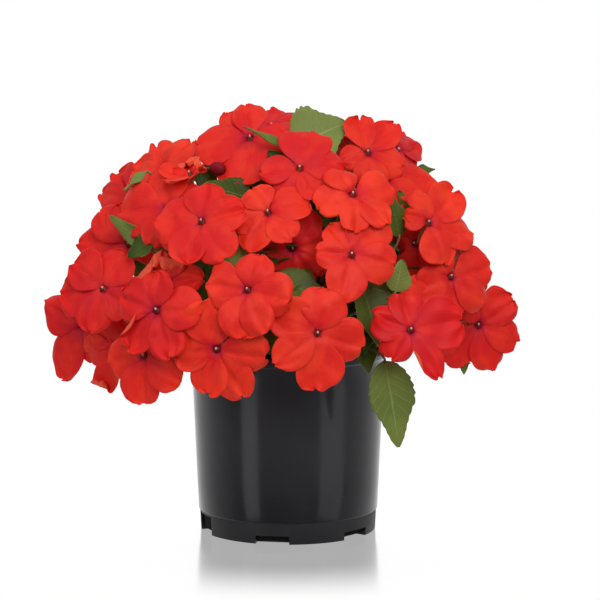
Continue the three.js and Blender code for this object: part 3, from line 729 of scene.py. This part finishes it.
def petalPoints(kind, length, halves, lifts, mood):
    # the petal in its bloom's frame, its own axis along X; millimetres
    along, across, shape = kind
    form = petalForm
    start, phase, broad = form["start"], mood["phase"], 1 - mood["point"]
    length *= mood["stretch"]
    edge = np.clip((np.abs(across) ** 6 + along ** 6) ** (1 / 6), 0, 1)  # 1 on the margin
    outer = np.clip(along * 1.6 - 0.4, 0, 1)
    about = np.arctan2(shape[:, 1], shape[:, 0] - form["middle"])
    ruffle = form["ruffle"] * np.sin(about * mood["waves"] + phase) * edge ** 3
    ruffle += form["crinkle"] * np.sin(about * mood["crinkle"] + phase * 3) * edge ** 8
    ruffle *= outer * broad
    notch = form["notch"] * mood["heart"] * broad * np.exp(-((shape[:, 1] / form["notchWidth"]) ** 2))
    x = form["middle"] + (shape[:, 0] - form["middle"]) * (1 + ruffle) - notch * along ** 5
    x = start + (length - start) * x
    y = shape[:, 1] * (1 + ruffle) * np.where(shape[:, 1] < 0, halves[0], halves[1])
    y *= mood["slim"] * (1 - mood["point"] * along ** 2)
    base = form["baseHalf"] * across
    y = np.where(np.abs(y) < np.abs(base) * (along < 0.3), base, y)
    y += mood["lean"] * x * along

    far = x / length
    z = (np.sqrt(y * y + 4) - 2) * far * np.where(y < 0, lifts[0], lifts[1])
    z -= mood["droop"] * far ** 2
    z -= mood["groove"] * np.exp(-((y / form["groove"]) ** 2)) * np.sin(math.pi * np.clip(along, 0, 1)) ** 0.8
    z -= mood["edge"] * np.abs(across) ** 4 * along
    z += mood["wave"] * np.sin(across * 2.8 + phase) * along ** 2.5
    z += mood["twist"] * y * far
    z += mood["pleat"] * np.sin(across * mood["pleats"] + phase * 5) * along ** 1.5
    z += mood["warp"] * np.sin(x * 0.38 + phase * 7) * np.sin(y * 0.33 + phase * 11) * far
    z += mood["hump"] * np.sin(math.pi * along) * (1 - 0.5 * across ** 2)
    z += form["fringe"] * np.sin(about * mood["waves"] * 1.5 + phase * 2) * edge ** 6 * outer
    z -= form["dip"] * np.exp(-(x - start) / form["dipReach"])
    if mood["roll"] > 0:
        # its end curls over
        x, rise = curled(x, length * (1 - mood["roll"]), mood["rollRadius"])
        z += rise
    if mood["side"] != 0:
        # one side edge curls over
        sign = 1 if mood["side"] > 0 else -1
        half = halves[1 if sign > 0 else 0] * mood["slim"]
        y, rise = curled(y * sign, half * (1 - abs(mood["side"])), mood["rollRadius"])
        y *= sign
        z += rise
    return np.stack([x, y, z], axis=1)


# the ranges that each petal's own ways are drawn from; most petals have no roll
petalWays = {
    "droop": (-0.2, 5.4), "hump": (-0.9, 2.2), "groove": (0.5, 1.4), "wave": (-2.0, 2.0), "phase": (0, 6.28),
    "waves": (3.4, 6.0), "crinkle": (11, 17), "heart": (0.1, 1.1), "edge": (-0.8, 2.4), "lean": (-0.06, 0.06),
    "roll": (0, 0, 0, 0, 0, 0, 0.07, 0.1), "rollRadius": (2.4, 3.6), "point": (-0.05, 0.12),
    "twist": (-0.15, 0.15), "pleat": (0.3, 0.9), "pleats": (5.5, 9.0), "warp": (0.4, 1.0),
}
# ways of single petals that differ: {bloom: {petal: {way: value}}}
oddPetals = {
    1: {0: {"slim": 0.85}, 1: {"slim": 0.85}},
    2: {1: {"heart": 1.9}},
    3: {0: {"heart": 1.6}, 1: {"heart": 1.8}},
    4: {0: {"roll": 0.5, "rollRadius": 1.6}, 1: {"roll": 0.55, "rollRadius": 1.8},
        2: {"droop": -7}, 3: {"droop": -8}, 4: {"droop": -8}},
    6: {2: {"point": 0.45}},
    12: {3: {"roll": 0.12}},
    13: {3: {"point": 0.5, "slim": 0.9}, 4: {"side": -0.22, "rollRadius": 1.4}},
    17: {4: {"point": 0.35, "slim": 0.64, "side": -0.55, "rollRadius": 0.9}},
    23: {0: {"slim": 0.85}, 1: {"slim": 0.85, "heart": 1.4}},
    26: {3: {"droop": 1}},
    27: {2: {"point": 0.62}, 3: {"point": 0.3, "slim": 0.8}},
    28: {0: {"point": 0.35}, 3: {"side": -0.5, "rollRadius": 1.2}},
    29: {1: {"side": -0.25, "rollRadius": 2.0}},
    30: {2: {"droop": 5}, 3: {"roll": 0.2, "rollRadius": 1.2, "stretch": 1.2, "slim": 0.62}},
    31: {1: {"roll": 0.45, "rollRadius": 1.3}, 2: {"roll": 0.36, "rollRadius": 1.3}, 3: {"roll": 0.3}},
}


def petalMood(number, place):
    mood = {"side": 0, "slim": 1, "stretch": 1}
    for way, span in petalWays.items():
        mood[way] = dice.choice(span) if way == "roll" else dice.uniform(*span)
    mood.update(oddPetals.get(number, {}).get(place, {}))
    return mood


throatForm = {
    # radius and height of each ring of the spur, from its mouth back, and how far it is bent down there
    "spur": [(1.4, -0.9), (1.7, -4), (1.2, -6.5), (1.05, -10), (0.9, -14), (0.75, -17), (0.35, -18)],
    "spurBend": [0, 0, -0.2, -1.2, -3.2, -5, -6.1],
    "holeRadii": (0.4, 1.4), "holeTop": -0.7, "holeDepth": 3.0,
    "sides": 10,
    # half sizes and place
    "anther": ((0.578, 0.782, 0.884), (0, 0.9, -0.5)),
    "sepal": ((1.15, 2.6, 0.4), (2.6, 3.0, -3.4)),
}


def makeSpur(material):
    rings = throatForm["spur"]
    spur = addShape("spurBlank", bpy.ops.mesh.primitive_circle_add, (0, 0, rings[0][1] * mm),
                    vertices=throatForm["sides"], radius=rings[0][0] * mm, fill_type="NOTHING")
    bpy.ops.object.mode_set(mode="EDIT")
    bpy.ops.mesh.select_all(action="SELECT")
    extrudeRings(rings, throatForm["spurBend"])
    closeEnd()
    spur.data.materials.append(material)
    return spur


def makeThroat(material):
    low, high = throatForm["holeRadii"]
    depth = throatForm["holeDepth"]
    middle = throatForm["holeTop"] - depth / 2
    hole = addShape("throatBlank", bpy.ops.mesh.primitive_cone_add, (0, 0, middle * mm),
                    vertices=throatForm["sides"], radius1=low * mm, radius2=high * mm, depth=depth * mm,
                    end_fill_type="NOTHING")
    bpy.ops.object.mode_set(mode="EDIT")
    selectVerts(hole, lambda x, y, z: z < middle * mm)
    closeEnd(inside=True)
    hole.data.materials.append(material)
    return hole


def makeHeartBlank(materials):
    # spur, dark throat, anther column and the two small sepals behind, in the bloom's frame
    anther, antherPlace = throatForm["anther"]
    sepal, (aside, above, back) = throatForm["sepal"]
    pieces = [makeSpur(materials["spur"]), makeThroat(materials["throat"])]
    pieces.append(makeEgg("antherBlank", 10, 6, anther, antherPlace, materials["anther"]))
    for side in (-1, 1):
        pieces.append(makeEgg("sepalBlank", 10, 6, sepal, (side * aside, above, back), materials["green"]))
    for piece in pieces:
        smooth(piece)
    return joinPieces(pieces, "heartBlank")


def growBloom(number, bloom, blank, kind, heartBlank):
    form = petalForm
    place = bloomFrame(bloom)
    petals = sorted((math.radians(turn % 360), length) for turn, length in bloom["petals"])
    turns = [turn for turn, _ in petals]
    halfWays = [(after - before) % (2 * math.pi) / 2 for before, after in zip(turns, turns[1:] + turns[:1])]
    overs = [dice.choice((-1, 1)) for _ in petals]  # which of two neighbours lies on top
    pieces = []
    for i, (turn, length) in enumerate(petals):
        rooms = [math.tan(min(room, form["widestTurn"])) for room in (halfWays[i - 1], halfWays[i])]
        wanted = [form["spread"] * room + form["overlap"] for room in rooms]
        halves = [min(form["half"], max(form["least"], half)) * length for half in wanted]
        lifts = (-overs[i - 1] * form["lift"], overs[i] * form["lift"])
        petal = copyOf(blank, "petal")
        points = petalPoints(kind, length, halves, lifts, petalMood(number, i))
        movePoints(petal, placedIn(place @ Matrix.Rotation(turn, 4, "Z"), points))
        pieces.append(petal)
    whole = joinPieces(pieces, f"bloom{number:02d}")
    thicken(whole, form["thickness"])
    middle = copyOf(heartBlank, "middle")
    place.translation = place.translation * mm
    middle.data.transform(place)
    whole = joinPieces([whole, middle], f"bloom{number:02d}")
    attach(whole, "root")
    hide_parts(f"bloom_{number:02d}")


# Leaves, stalks and stems

leafForm = {
    "grid": (33, 14), "innerGrid": (12, 8), "bulge": 0.72, "fullness": 0.74,
    "waist": 0.22,  # draws in the outer half, towards a long tip
    "teeth": 11, "toothDepth": 0.055, "fold": 0.2, "droop": 0.13, "thickness": 0.5,
    "quilt": 0.35, "quilts": 8.5, "quiltSlant": 1.9,  # dips between the side veins
}


def leafHalf(along):
    form = leafForm
    width = math.sin(math.pi * min(along, 0.999) ** form["bulge"]) ** form["fullness"]
    width *= 1 - form["waist"] * math.sin(math.pi * min(max((along - 0.5) / 0.5, 0), 1))
    return max(width, 0.03) * (1 + form["toothDepth"] * (((along * form["teeth"]) % 1) - 0.5) * 2)


def makeLeafBlank(rows, columns, materials):
    blank = addBlade("leafBlank", rows, columns)
    return shapeBlade(blank, pointsOf(blank) + [0.5, 0, 0], leafHalf, materials)


def growLeaf(leaf, blank, kind):
    along, across, shape = kind
    length = (leaf["tip"] - leaf["root"]).length
    form = leafForm
    phase = dice.uniform(0, 6.28)
    x = shape[:, 0] * length
    y = shape[:, 1] * leaf["width"] / 2
    z = form["fold"] * (np.sqrt(y * y + 1.5) - 1.2) - form["droop"] * length * along ** 2
    z += dice.uniform(0.4, 1.3) * np.sin(along * 9 + across * 1.5 + phase) * np.abs(across) ** 2
    veins = (along * form["quilts"] - np.abs(across) * form["quiltSlant"]) * math.pi
    z -= form["quilt"] * np.abs(np.sin(veins)) ** 3 * (1 - across ** 2)
    piece = copyOf(blank, "leaf")
    movePoints(piece, placedIn(leafFrame(leaf), np.stack([x, y, z], axis=1)))
    return piece


def makeTubeBlank(rings, sides):
    # a unit rod with rings along it, that growTube lays along a bend
    blank = addShape("tubeBlank", bpy.ops.mesh.primitive_cylinder_add, (0, 0, 0.5), vertices=sides,
                     radius=1, depth=1, end_fill_type="NGON")
    bpy.ops.object.mode_set(mode="EDIT")
    mesh = bmesh.from_edit_mesh(blank.data)
    for edge in mesh.edges:
        edge.select = abs(edge.verts[0].co.z - edge.verts[1].co.z) > 0.5
    mesh.select_flush_mode()
    bmesh.update_edit_mesh(blank.data)
    bpy.ops.mesh.subdivide(number_cuts=rings)
    bpy.ops.object.mode_set(mode="OBJECT")
    smooth(blank)
    return blank


def growTube(blank, way, form, material):
    # its taper: shares of its radius at the start, in the middle and at the end
    radii = [form["radius"] * share for share in form["taper"]]
    points = pointsOf(blank)
    start, knee, end = way
    side = (knee - start).cross(end - knee)
    if side.length < 1e-6:
        side = (end - start).cross(Vector((0.3, 0.2, 1)))
    side.normalize()
    placed = []
    for x, y, share in points:
        centre, heading = onBend(way, share)
        radius = radii[0] * (1 - share) ** 2 + radii[1] * 2 * share * (1 - share) + radii[2] * share ** 2
        placed.append((centre + (side * x + heading.cross(side) * y) * radius) * mm)
    piece = copyOf(blank, "tube")
    movePoints(piece, placed)
    piece.data.materials.append(material)
    return piece


def growBud(bud, blank):
    piece = copyOf(blank, "bud")
    size = Vector((bud["width"], bud["width"], bud["length"])) / 2
    place = bloomFrame(bud)
    place.translation = bud["at"] * mm
    piece.data.transform(place @ Matrix.Diagonal((*size, 1)))
    return piece


def stalkOf(row):
    # of a bloom, or of a bud, which has a length and no bend of its own
    place = bloomFrame(row)
    end = place @ Vector((0, 0, -row["length"] * budSunk) if "length" in row else stalkWay["attach"])
    aside, above = row.get("bend", (0, 0))
    knee = place @ Vector((aside, above, -(end - row["start"]).length * stalkWay["straight"]))
    return row["start"], knee, end


def petioleOf(leaf):
    reach = leaf["tip"] - leaf["root"]
    knee = leaf.get("knee", leaf["root"] - reach * petioleWay["straight"])
    return leaf["start"], knee, leaf["root"] + reach * petioleWay["sunk"]


innerLeaves = {
    "each": 27, "lowest": -8, "highest": 78, "near": 42, "far": 92, "length": (24, 36), "width": (15, 23),
    "centreRise": (45, 85), "aside": (-50, 50), "fall": (10, 60), "tilt": 30, "branch": (0.3, 1.0),
    "leastHeight": 116, "within": 99,  # none hangs lower than the blooms, or shows before them
}


def innerLeafRows(k):
    # young leaves round the heart of the plant, that close it behind the blooms
    rows = []
    know = innerLeaves
    centre = k == mainStem["ring"]
    middle = Vector((0, 0, crown["centre"]))
    for i in range(know["each"]):
        share = (i + dice.random()) / know["each"]
        rise = know["lowest"] + (know["highest"] - know["lowest"]) * share
        if centre:
            turn = dice.uniform(0, 360)
            rise = dice.uniform(*know["centreRise"])
        else:
            turn = (k + dice.uniform(-0.15, 1.15)) * (360 / mainStem["ring"])
        root = onCrown(turn, rise, dice.uniform(know["near"], know["far"]))
        length = dice.uniform(*know["length"])
        tip = root + looking(turn + dice.uniform(*know["aside"]), rise - dice.uniform(*know["fall"])) * length
        tip.z = max(tip.z, know["leastHeight"])
        tip = middle + (tip - middle) * min(1, know["within"] / (tip - middle).length)
        start = onBend(stems[k], dice.uniform(*know["branch"]))[0]
        rows.append({"root": root, "tip": tip, "width": dice.uniform(*know["width"]), "start": start,
                     "face": (turn, max(rise, 0) + know["tilt"]), "look": "innerLeaf"})
    return rows


def growLeaves(rows, blanks, material):
    pieces = []
    for leaf in rows:
        pieces.append(growTube(blanks["stalk"], petioleOf(leaf), petioleWay, material))
        pieces.append(growLeaf(leaf, *blanks[leaf["look"]]))
    return pieces


def growStem(k, blanks, materials):
    foot, knee, tip = stems[k]
    sunk = Vector((foot.x, foot.y, foot.z - mainStem["depth"] / 3))
    pieces = [growTube(blanks["stem"], (sunk, knee, tip), mainStem, materials["stem"])]
    for row in blooms + budRows:
        if row["stem"] == k:
            if "length" in row:
                pieces.append(growBud(row, blanks["bud"]))
            pieces.append(growTube(blanks["stalk"], stalkOf(row), stalkWay, materials["stalk"]))
    pieces += growLeaves([leaf for leaf in leafRows if leaf["stem"] == k], blanks, materials["stalk"])
    pieces += growLeaves(innerLeafRows(k), blanks, materials["stalk"])
    leaves = [piece for piece in pieces if piece.name.startswith("leaf")]
    rods = [piece for piece in pieces if not piece.name.startswith("leaf")]
    foliage = joinPieces(leaves, "foliage")
    thicken(foliage, leafForm["thickness"], rim=1)
    whole = joinPieces([foliage, *rods], f"leafyStem{k + 1:02d}")
    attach(whole, "root")
    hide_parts(f"leafy_stem_{k + 1:02d}")


# The pot and its soil

potForm = {
    "height": 110, "baseRadius": 52.7, "seamHeight": 13, "seamStep": 0.7, "wallTopRadius": 58.0,
    "lipHeight": 5.8, "lipReach": 1.2, "wall": 1.4, "floor": 2, "sides": 160,
    "notches": [-10, 50, 170, 230], "notchHeight": 5,  # turns from the front
    "tallNotches": [-70, 110], "tallHeight": 11,
    "notchWidth": 20, "notchFrom": 45, "notchTo": 70, "notchBelow": 2,
    # its roundings, as steps out and up from the base, the wall at the seam, and the lip's foot and top
    "footRound": [(-0.5, 0), (-0.15, 0.12), (0, 0.45)],
    "seamRound": [(-0.7, -0.7), (-0.15, -0.25), (0, 0.15)],
    "lipRound": [(-0.3, 0.35), (0, 0.9)],
    "rimRound": [(0, -1.2), (-0.25, -0.4), (-0.9, 0)],
}


def wallRadius(z):
    form = potForm
    foot = form["baseRadius"] + form["seamStep"]
    return foot + (form["wallTopRadius"] - foot) * z / (form["height"] - form["lipHeight"])


def stepsFrom(radius, height, steps):
    return [(radius + out, height + up) for out, up in steps]


def potRings():
    # radius and height, from the foot up the outside, over the lip and down the inside
    form = potForm
    seam, top, base, wall = form["seamHeight"], form["height"], form["baseRadius"], form["wall"]
    lipFoot = top - form["lipHeight"]
    lip = form["wallTopRadius"] + form["lipReach"]
    inner = wall + form["seamStep"]
    rings = stepsFrom(base, 0, form["footRound"]) + stepsFrom(wallRadius(seam), seam, form["seamRound"])
    rings += [(wallRadius(z), z) for z in (30, 50, 70, 90, lipFoot - 0.4)]
    rings += [(wallRadius(lipFoot) + 0.25, lipFoot)] + stepsFrom(lip, lipFoot, form["lipRound"])
    rings += stepsFrom(lip, top, form["rimRound"])
    rings += stepsFrom(wallRadius(top), top, [(-0.9, 0), (-wall, -0.5)]) + [(wallRadius(60) - wall, 60)]
    rings += [(wallRadius(seam) - inner, seam), (wallRadius(2) - inner, form["floor"])]
    return rings


def makeNotchCutter():
    form = potForm
    depth = form["notchTo"] - form["notchFrom"]
    cutters = []
    for turns, height in ((form["notches"], form["notchHeight"]), (form["tallNotches"], form["tallHeight"])):
        for turn in turns:
            middle = looking(turn, 0) * (form["notchFrom"] + depth / 2)
            middle.z = (height - form["notchBelow"]) / 2
            size = Vector((form["notchWidth"], depth, height + form["notchBelow"]))
            cutters.append(addShape("notchCutter", bpy.ops.mesh.primitive_cube_add, middle * mm, size=1,
                                    rotation=(0, 0, math.radians(turn)), scale=size * mm))
    return joinPieces(cutters, "notchCutter")


def makePot(material):
    pot = turnRound("pot", potRings(), potForm["sides"])
    cutter = makeNotchCutter()
    cut = pot.modifiers.new("notches", "BOOLEAN")
    cut.operation = "DIFFERENCE"
    cut.solver = "EXACT"
    cut.object = cutter
    applyAll(pot)
    dropBlank(cutter)
    pot.data.materials.append(material)
    smooth(pot, 40)
    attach(pot, "root")
    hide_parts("pot")


soilForm = {
    "rim": 96, "crown": mainStem["footHeight"], "gap": 0.35, "rings": 22, "lump": 0.75, "sides": 120,
    # how many crumbs, and their least and most radius
    "perlite": (46, (0.7, 1.6)), "bark": (60, (1.0, 2.6)), "crumbHeight": 0.4,
    "crumbStretch": ((0.5, 1.2), (0.5, 1.2), (0.4, 0.8)), "clear": 3,  # of the pot's wall
}


def makeCrumbs(name, material, reach):
    count, sizes = soilForm[name]
    blank = addShape(name + "Blank", bpy.ops.mesh.primitive_ico_sphere_add, subdivisions=1, radius=1)
    blank.data.materials.append(material)
    shape = pointsOf(blank)
    crumbs = []
    for _ in range(count):
        turn, out = dice.uniform(0, 6.28), reach * math.sqrt(dice.random())
        size = dice.uniform(*sizes)
        stretch = [size * dice.uniform(*span) for span in soilForm["crumbStretch"]]
        spot = [out * math.cos(turn), out * math.sin(turn), soilForm["crown"] + soilForm["crumbHeight"]]
        crumb = copyOf(blank, name)
        movePoints(crumb, (shape * stretch + spot) * mm)
        crumbs.append(crumb)
    dropBlank(blank)
    return crumbs


def makeSoil(material, perlite, bark):
    form = soilForm
    inner = wallRadius(form["rim"]) - potForm["wall"] - form["gap"]
    bottom = potForm["floor"] + form["gap"]
    foot = wallRadius(bottom) - potForm["wall"] - potForm["seamStep"] - form["gap"]
    rings = [(foot, bottom), (wallRadius(12) - 2.6, 12.3), (wallRadius(60) - 2, 60), (inner, form["rim"])]
    for i in range(1, form["rings"]):
        share = i / form["rings"]
        rings.append((inner * (1 - share), form["rim"] + (form["crown"] - form["rim"]) * min(1, share * 2.5)))
    soil = turnRound("soil", rings, form["sides"])
    points = pointsOf(soil)
    top = points[:, 2] > (form["rim"] + 0.01) * mm
    x, y = points[:, 0] / mm, points[:, 1] / mm
    lumps = np.sin(x * 0.31 + 1) * np.sin(y * 0.27)
    lumps += 0.6 * np.sin(x * 0.83 + y * 0.41) + 0.4 * np.sin(y * 1.3 - x * 0.9)
    points[:, 2] += np.where(top, lumps * form["lump"] * mm, 0)
    movePoints(soil, points)
    soil.data.materials.append(material)
    smooth(soil)
    reach = inner - form["clear"]
    crumbs = makeCrumbs("perlite", perlite, reach) + makeCrumbs("bark", bark, reach)
    soil = joinPieces([soil, *crumbs], "soilSurface")
    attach(soil, "root")
    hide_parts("soil")


# The studio: white floor and surroundings, two tall soft boxes in front, one above, a key and a fill

studio = {
    "camera": (7.2, -1292.9, 273.9), "pitch": 6, "lens": 130,
    "grade": (-0.4, 0.9, 0.15, 1.0),  # the surroundings are dark in front of the plant and white behind it
    "softShare": 0.69,  # how much of them lights matt surfaces
    "floorRadius": 0.20, "floorRoughness": 0.15, "floorFade": (0.10, 0.19), "floorWhite": 0.40,
    "aim": 0.13,  # metres up, where the soft boxes point
}
softBoxes = {
    # turn from the front, rise, distance, width, height, radiance
    "left": (-47, 5, 1.5, 0.55, 2.4, 0.8),
    "right": (56, 5, 1.5, 0.9, 2.4, 0.55),
    "above": (-8, 68, 1.5, 1.4, 1.4, 1.0),
    "key": (14, 28, 1.5, 0.75, 0.75, 6.7),
    "fill": (-48, 22, 1.5, 0.7, 0.7, 2.2),
}


def setCamera():
    camera = bpy.data.objects.new("camera", bpy.data.cameras.new("camera"))
    camera.data.lens = studio["lens"]
    camera.data.sensor_width = 36
    camera.location = Vector(studio["camera"]) * mm
    camera.rotation_euler = (math.radians(90 - studio["pitch"]), 0, 0)
    camera.data.clip_end = 50
    scene.collection.objects.link(camera)
    scene.camera = camera
    scene.view_settings.view_transform = "Standard"


def hangSoftBox(name, turn, rise, distance, width, height, radiance):
    lamp = bpy.data.lights.new(name, "AREA")
    lamp.shape = "RECTANGLE"
    lamp.size = width
    lamp.size_y = height
    lamp.energy = radiance * math.pi * width * height
    box = bpy.data.objects.new(name, lamp)
    away = looking(turn, rise)
    box.location = away * distance + Vector((0, 0, studio["aim"]))
    box.rotation_euler = away.to_track_quat("Z", "Y").to_euler()
    box.visible_camera = False
    scene.collection.objects.link(box)


def paintSurroundings():
    # plain white to the camera, and to the plant darker in front than behind
    world = bpy.data.worlds.new("studio")
    scene.world = world
    world.use_nodes = True
    sky = Nodes(world.node_tree)
    ray = sky.add("LightPath")
    direction = sky.apart(sky.add("TexCoord").outputs["Generated"])
    graded = sky.between(direction[1], *studio["grade"], "LINEAR")
    loss = sky.math("MULTIPLY", ray.outputs["Is Diffuse Ray"], 1 - studio["softShare"])
    glow = world.node_tree.nodes["Background"]
    sky.feed(glow, "Color", (1, 1, 1))
    sky.feed(glow, "Strength", sky.math("MULTIPLY", graded, sky.math("SUBTRACT", 1.0, loss)))
    seen = sky.add("Background")
    sky.feed(seen, "Color", (1, 1, 1))
    mix = sky.add("MixShader")
    sky.feed(mix, 0, ray.outputs["Is Camera Ray"])
    sky.link(glow.outputs[0], mix.inputs[1])
    sky.link(seen.outputs[0], mix.inputs[2])
    sky.link(mix.outputs[0], world.node_tree.nodes["World Output"].inputs[0])


def layFloor():
    floor = addShape("floor", bpy.ops.mesh.primitive_circle_add, vertices=96, radius=studio["floorRadius"],
                     fill_type="NGON")
    white = Shader("white floor", roughness=studio["floorRoughness"], Metallic=1.0)
    white.colour((1, 1, 1))
    white.fadeToWhite(*studio["floorFade"], studio["floorWhite"])
    floor.data.materials.append(white.material)
    floor.visible_glossy = False  # the pot shows no reflection of it


setCamera()
for name, values in softBoxes.items():
    hangSoftBox(name, *values)
paintSurroundings()
layFloor()
print("studio set")

materials = {
    "spur": plainMaterial("spur", (0.55, 0.06, 0.03), (0.40, 0.16, 0.05), 300, 0.5, glow=(0.6, 0.1, 0.03)),
    "throat": plainMaterial("throat", (0.04, 0.004, 0.012), (0.22, 0.012, 0.030), 500, 0.6),
    "anther": plainMaterial("anther", (0.66, 0.50, 0.38), (0.50, 0.42, 0.26), 900, 0.6),
    "green": plainMaterial("sepal", (0.12, 0.24, 0.05), (0.20, 0.30, 0.09), 300, 0.5, glow=(0.2, 0.4, 0.05)),
    "stem": plainMaterial("succulent stem", (0.13, 0.20, 0.055), (0.26, 0.14, 0.07), 70, 0.35,
                          glow=(0.3, 0.4, 0.08)),
    "bud": plainMaterial("bud", (0.30, 0.006, 0.02), (0.20, 0.008, 0.015), 200, 0.6, specular=0.15,
                         glow=(0.5, 0.03, 0.02)),
    "stalk": plainMaterial("stalk", (0.17, 0.24, 0.08), (0.34, 0.16, 0.10), 90, 0.4, glow=(0.4, 0.4, 0.1)),
    "perlite": plainMaterial("perlite", (0.62, 0.61, 0.58), (0.42, 0.40, 0.36), 700, 0.9),
    "bark": plainMaterial("bark", (0.05, 0.026, 0.014), (0.11, 0.06, 0.03), 500, 0.9),
}
print("finishes mixed")

makePot(potMaterial())
makeSoil(soilMaterial(), materials["perlite"], materials["bark"])
print("pot filled")

petalBlank, petalKind = makePetalBlank([petalMaterial(), petalBackMaterial()])
heartBlank = makeHeartBlank(materials)
for number, bloom in enumerate(blooms, 1):
    growBloom(number, bloom, petalBlank, petalKind, heartBlank)
dropBlank(petalBlank)
dropBlank(heartBlank)
print("blooms open:", len(blooms))

underside = leafMaterial("leaf underside", 0.35)
# painted shade: the shaded leaf finish, a darker copy of the leaf green, goes on leaves in shadow and on the
# hidden and inner leaves; the underside's paler green is its own
shaded = leafMaterial("shaded leaf", 0.0)
grid = leafForm["grid"]
leafBlanks = {
    "leaf": makeLeafBlank(*grid, [leafMaterial("leaf", 0.1), underside]),
    # painted light: the sunlit and pale leaf finishes are lighter copies of the leaf green
    "sunlitLeaf": makeLeafBlank(*grid, [leafMaterial("sunlit leaf", 0.32), underside]),
    "paintedLightLeaf": makeLeafBlank(*grid, [leafMaterial("painted light leaf", 0.46), underside]),
    "shadedLeaf": makeLeafBlank(*grid, [shaded, underside]),
    "innerLeaf": makeLeafBlank(*leafForm["innerGrid"], [shaded, underside]),
}
rodBlanks = {
    "bud": makeEgg("budBlank", 18, 10, (1, 1, 1), (0, 0, 0), materials["bud"]),
    "stem": makeTubeBlank(rings=14, sides=12),
    "stalk": makeTubeBlank(rings=8, sides=7),
}
smooth(rodBlanks["bud"])
for k in range(len(stems)):
    growStem(k, leafBlanks | rodBlanks, materials)
for blank in [*rodBlanks.values(), *(leaf[0] for leaf in leafBlanks.values())]:
    dropBlank(blank)
print("stems in leaf:", len(stems))
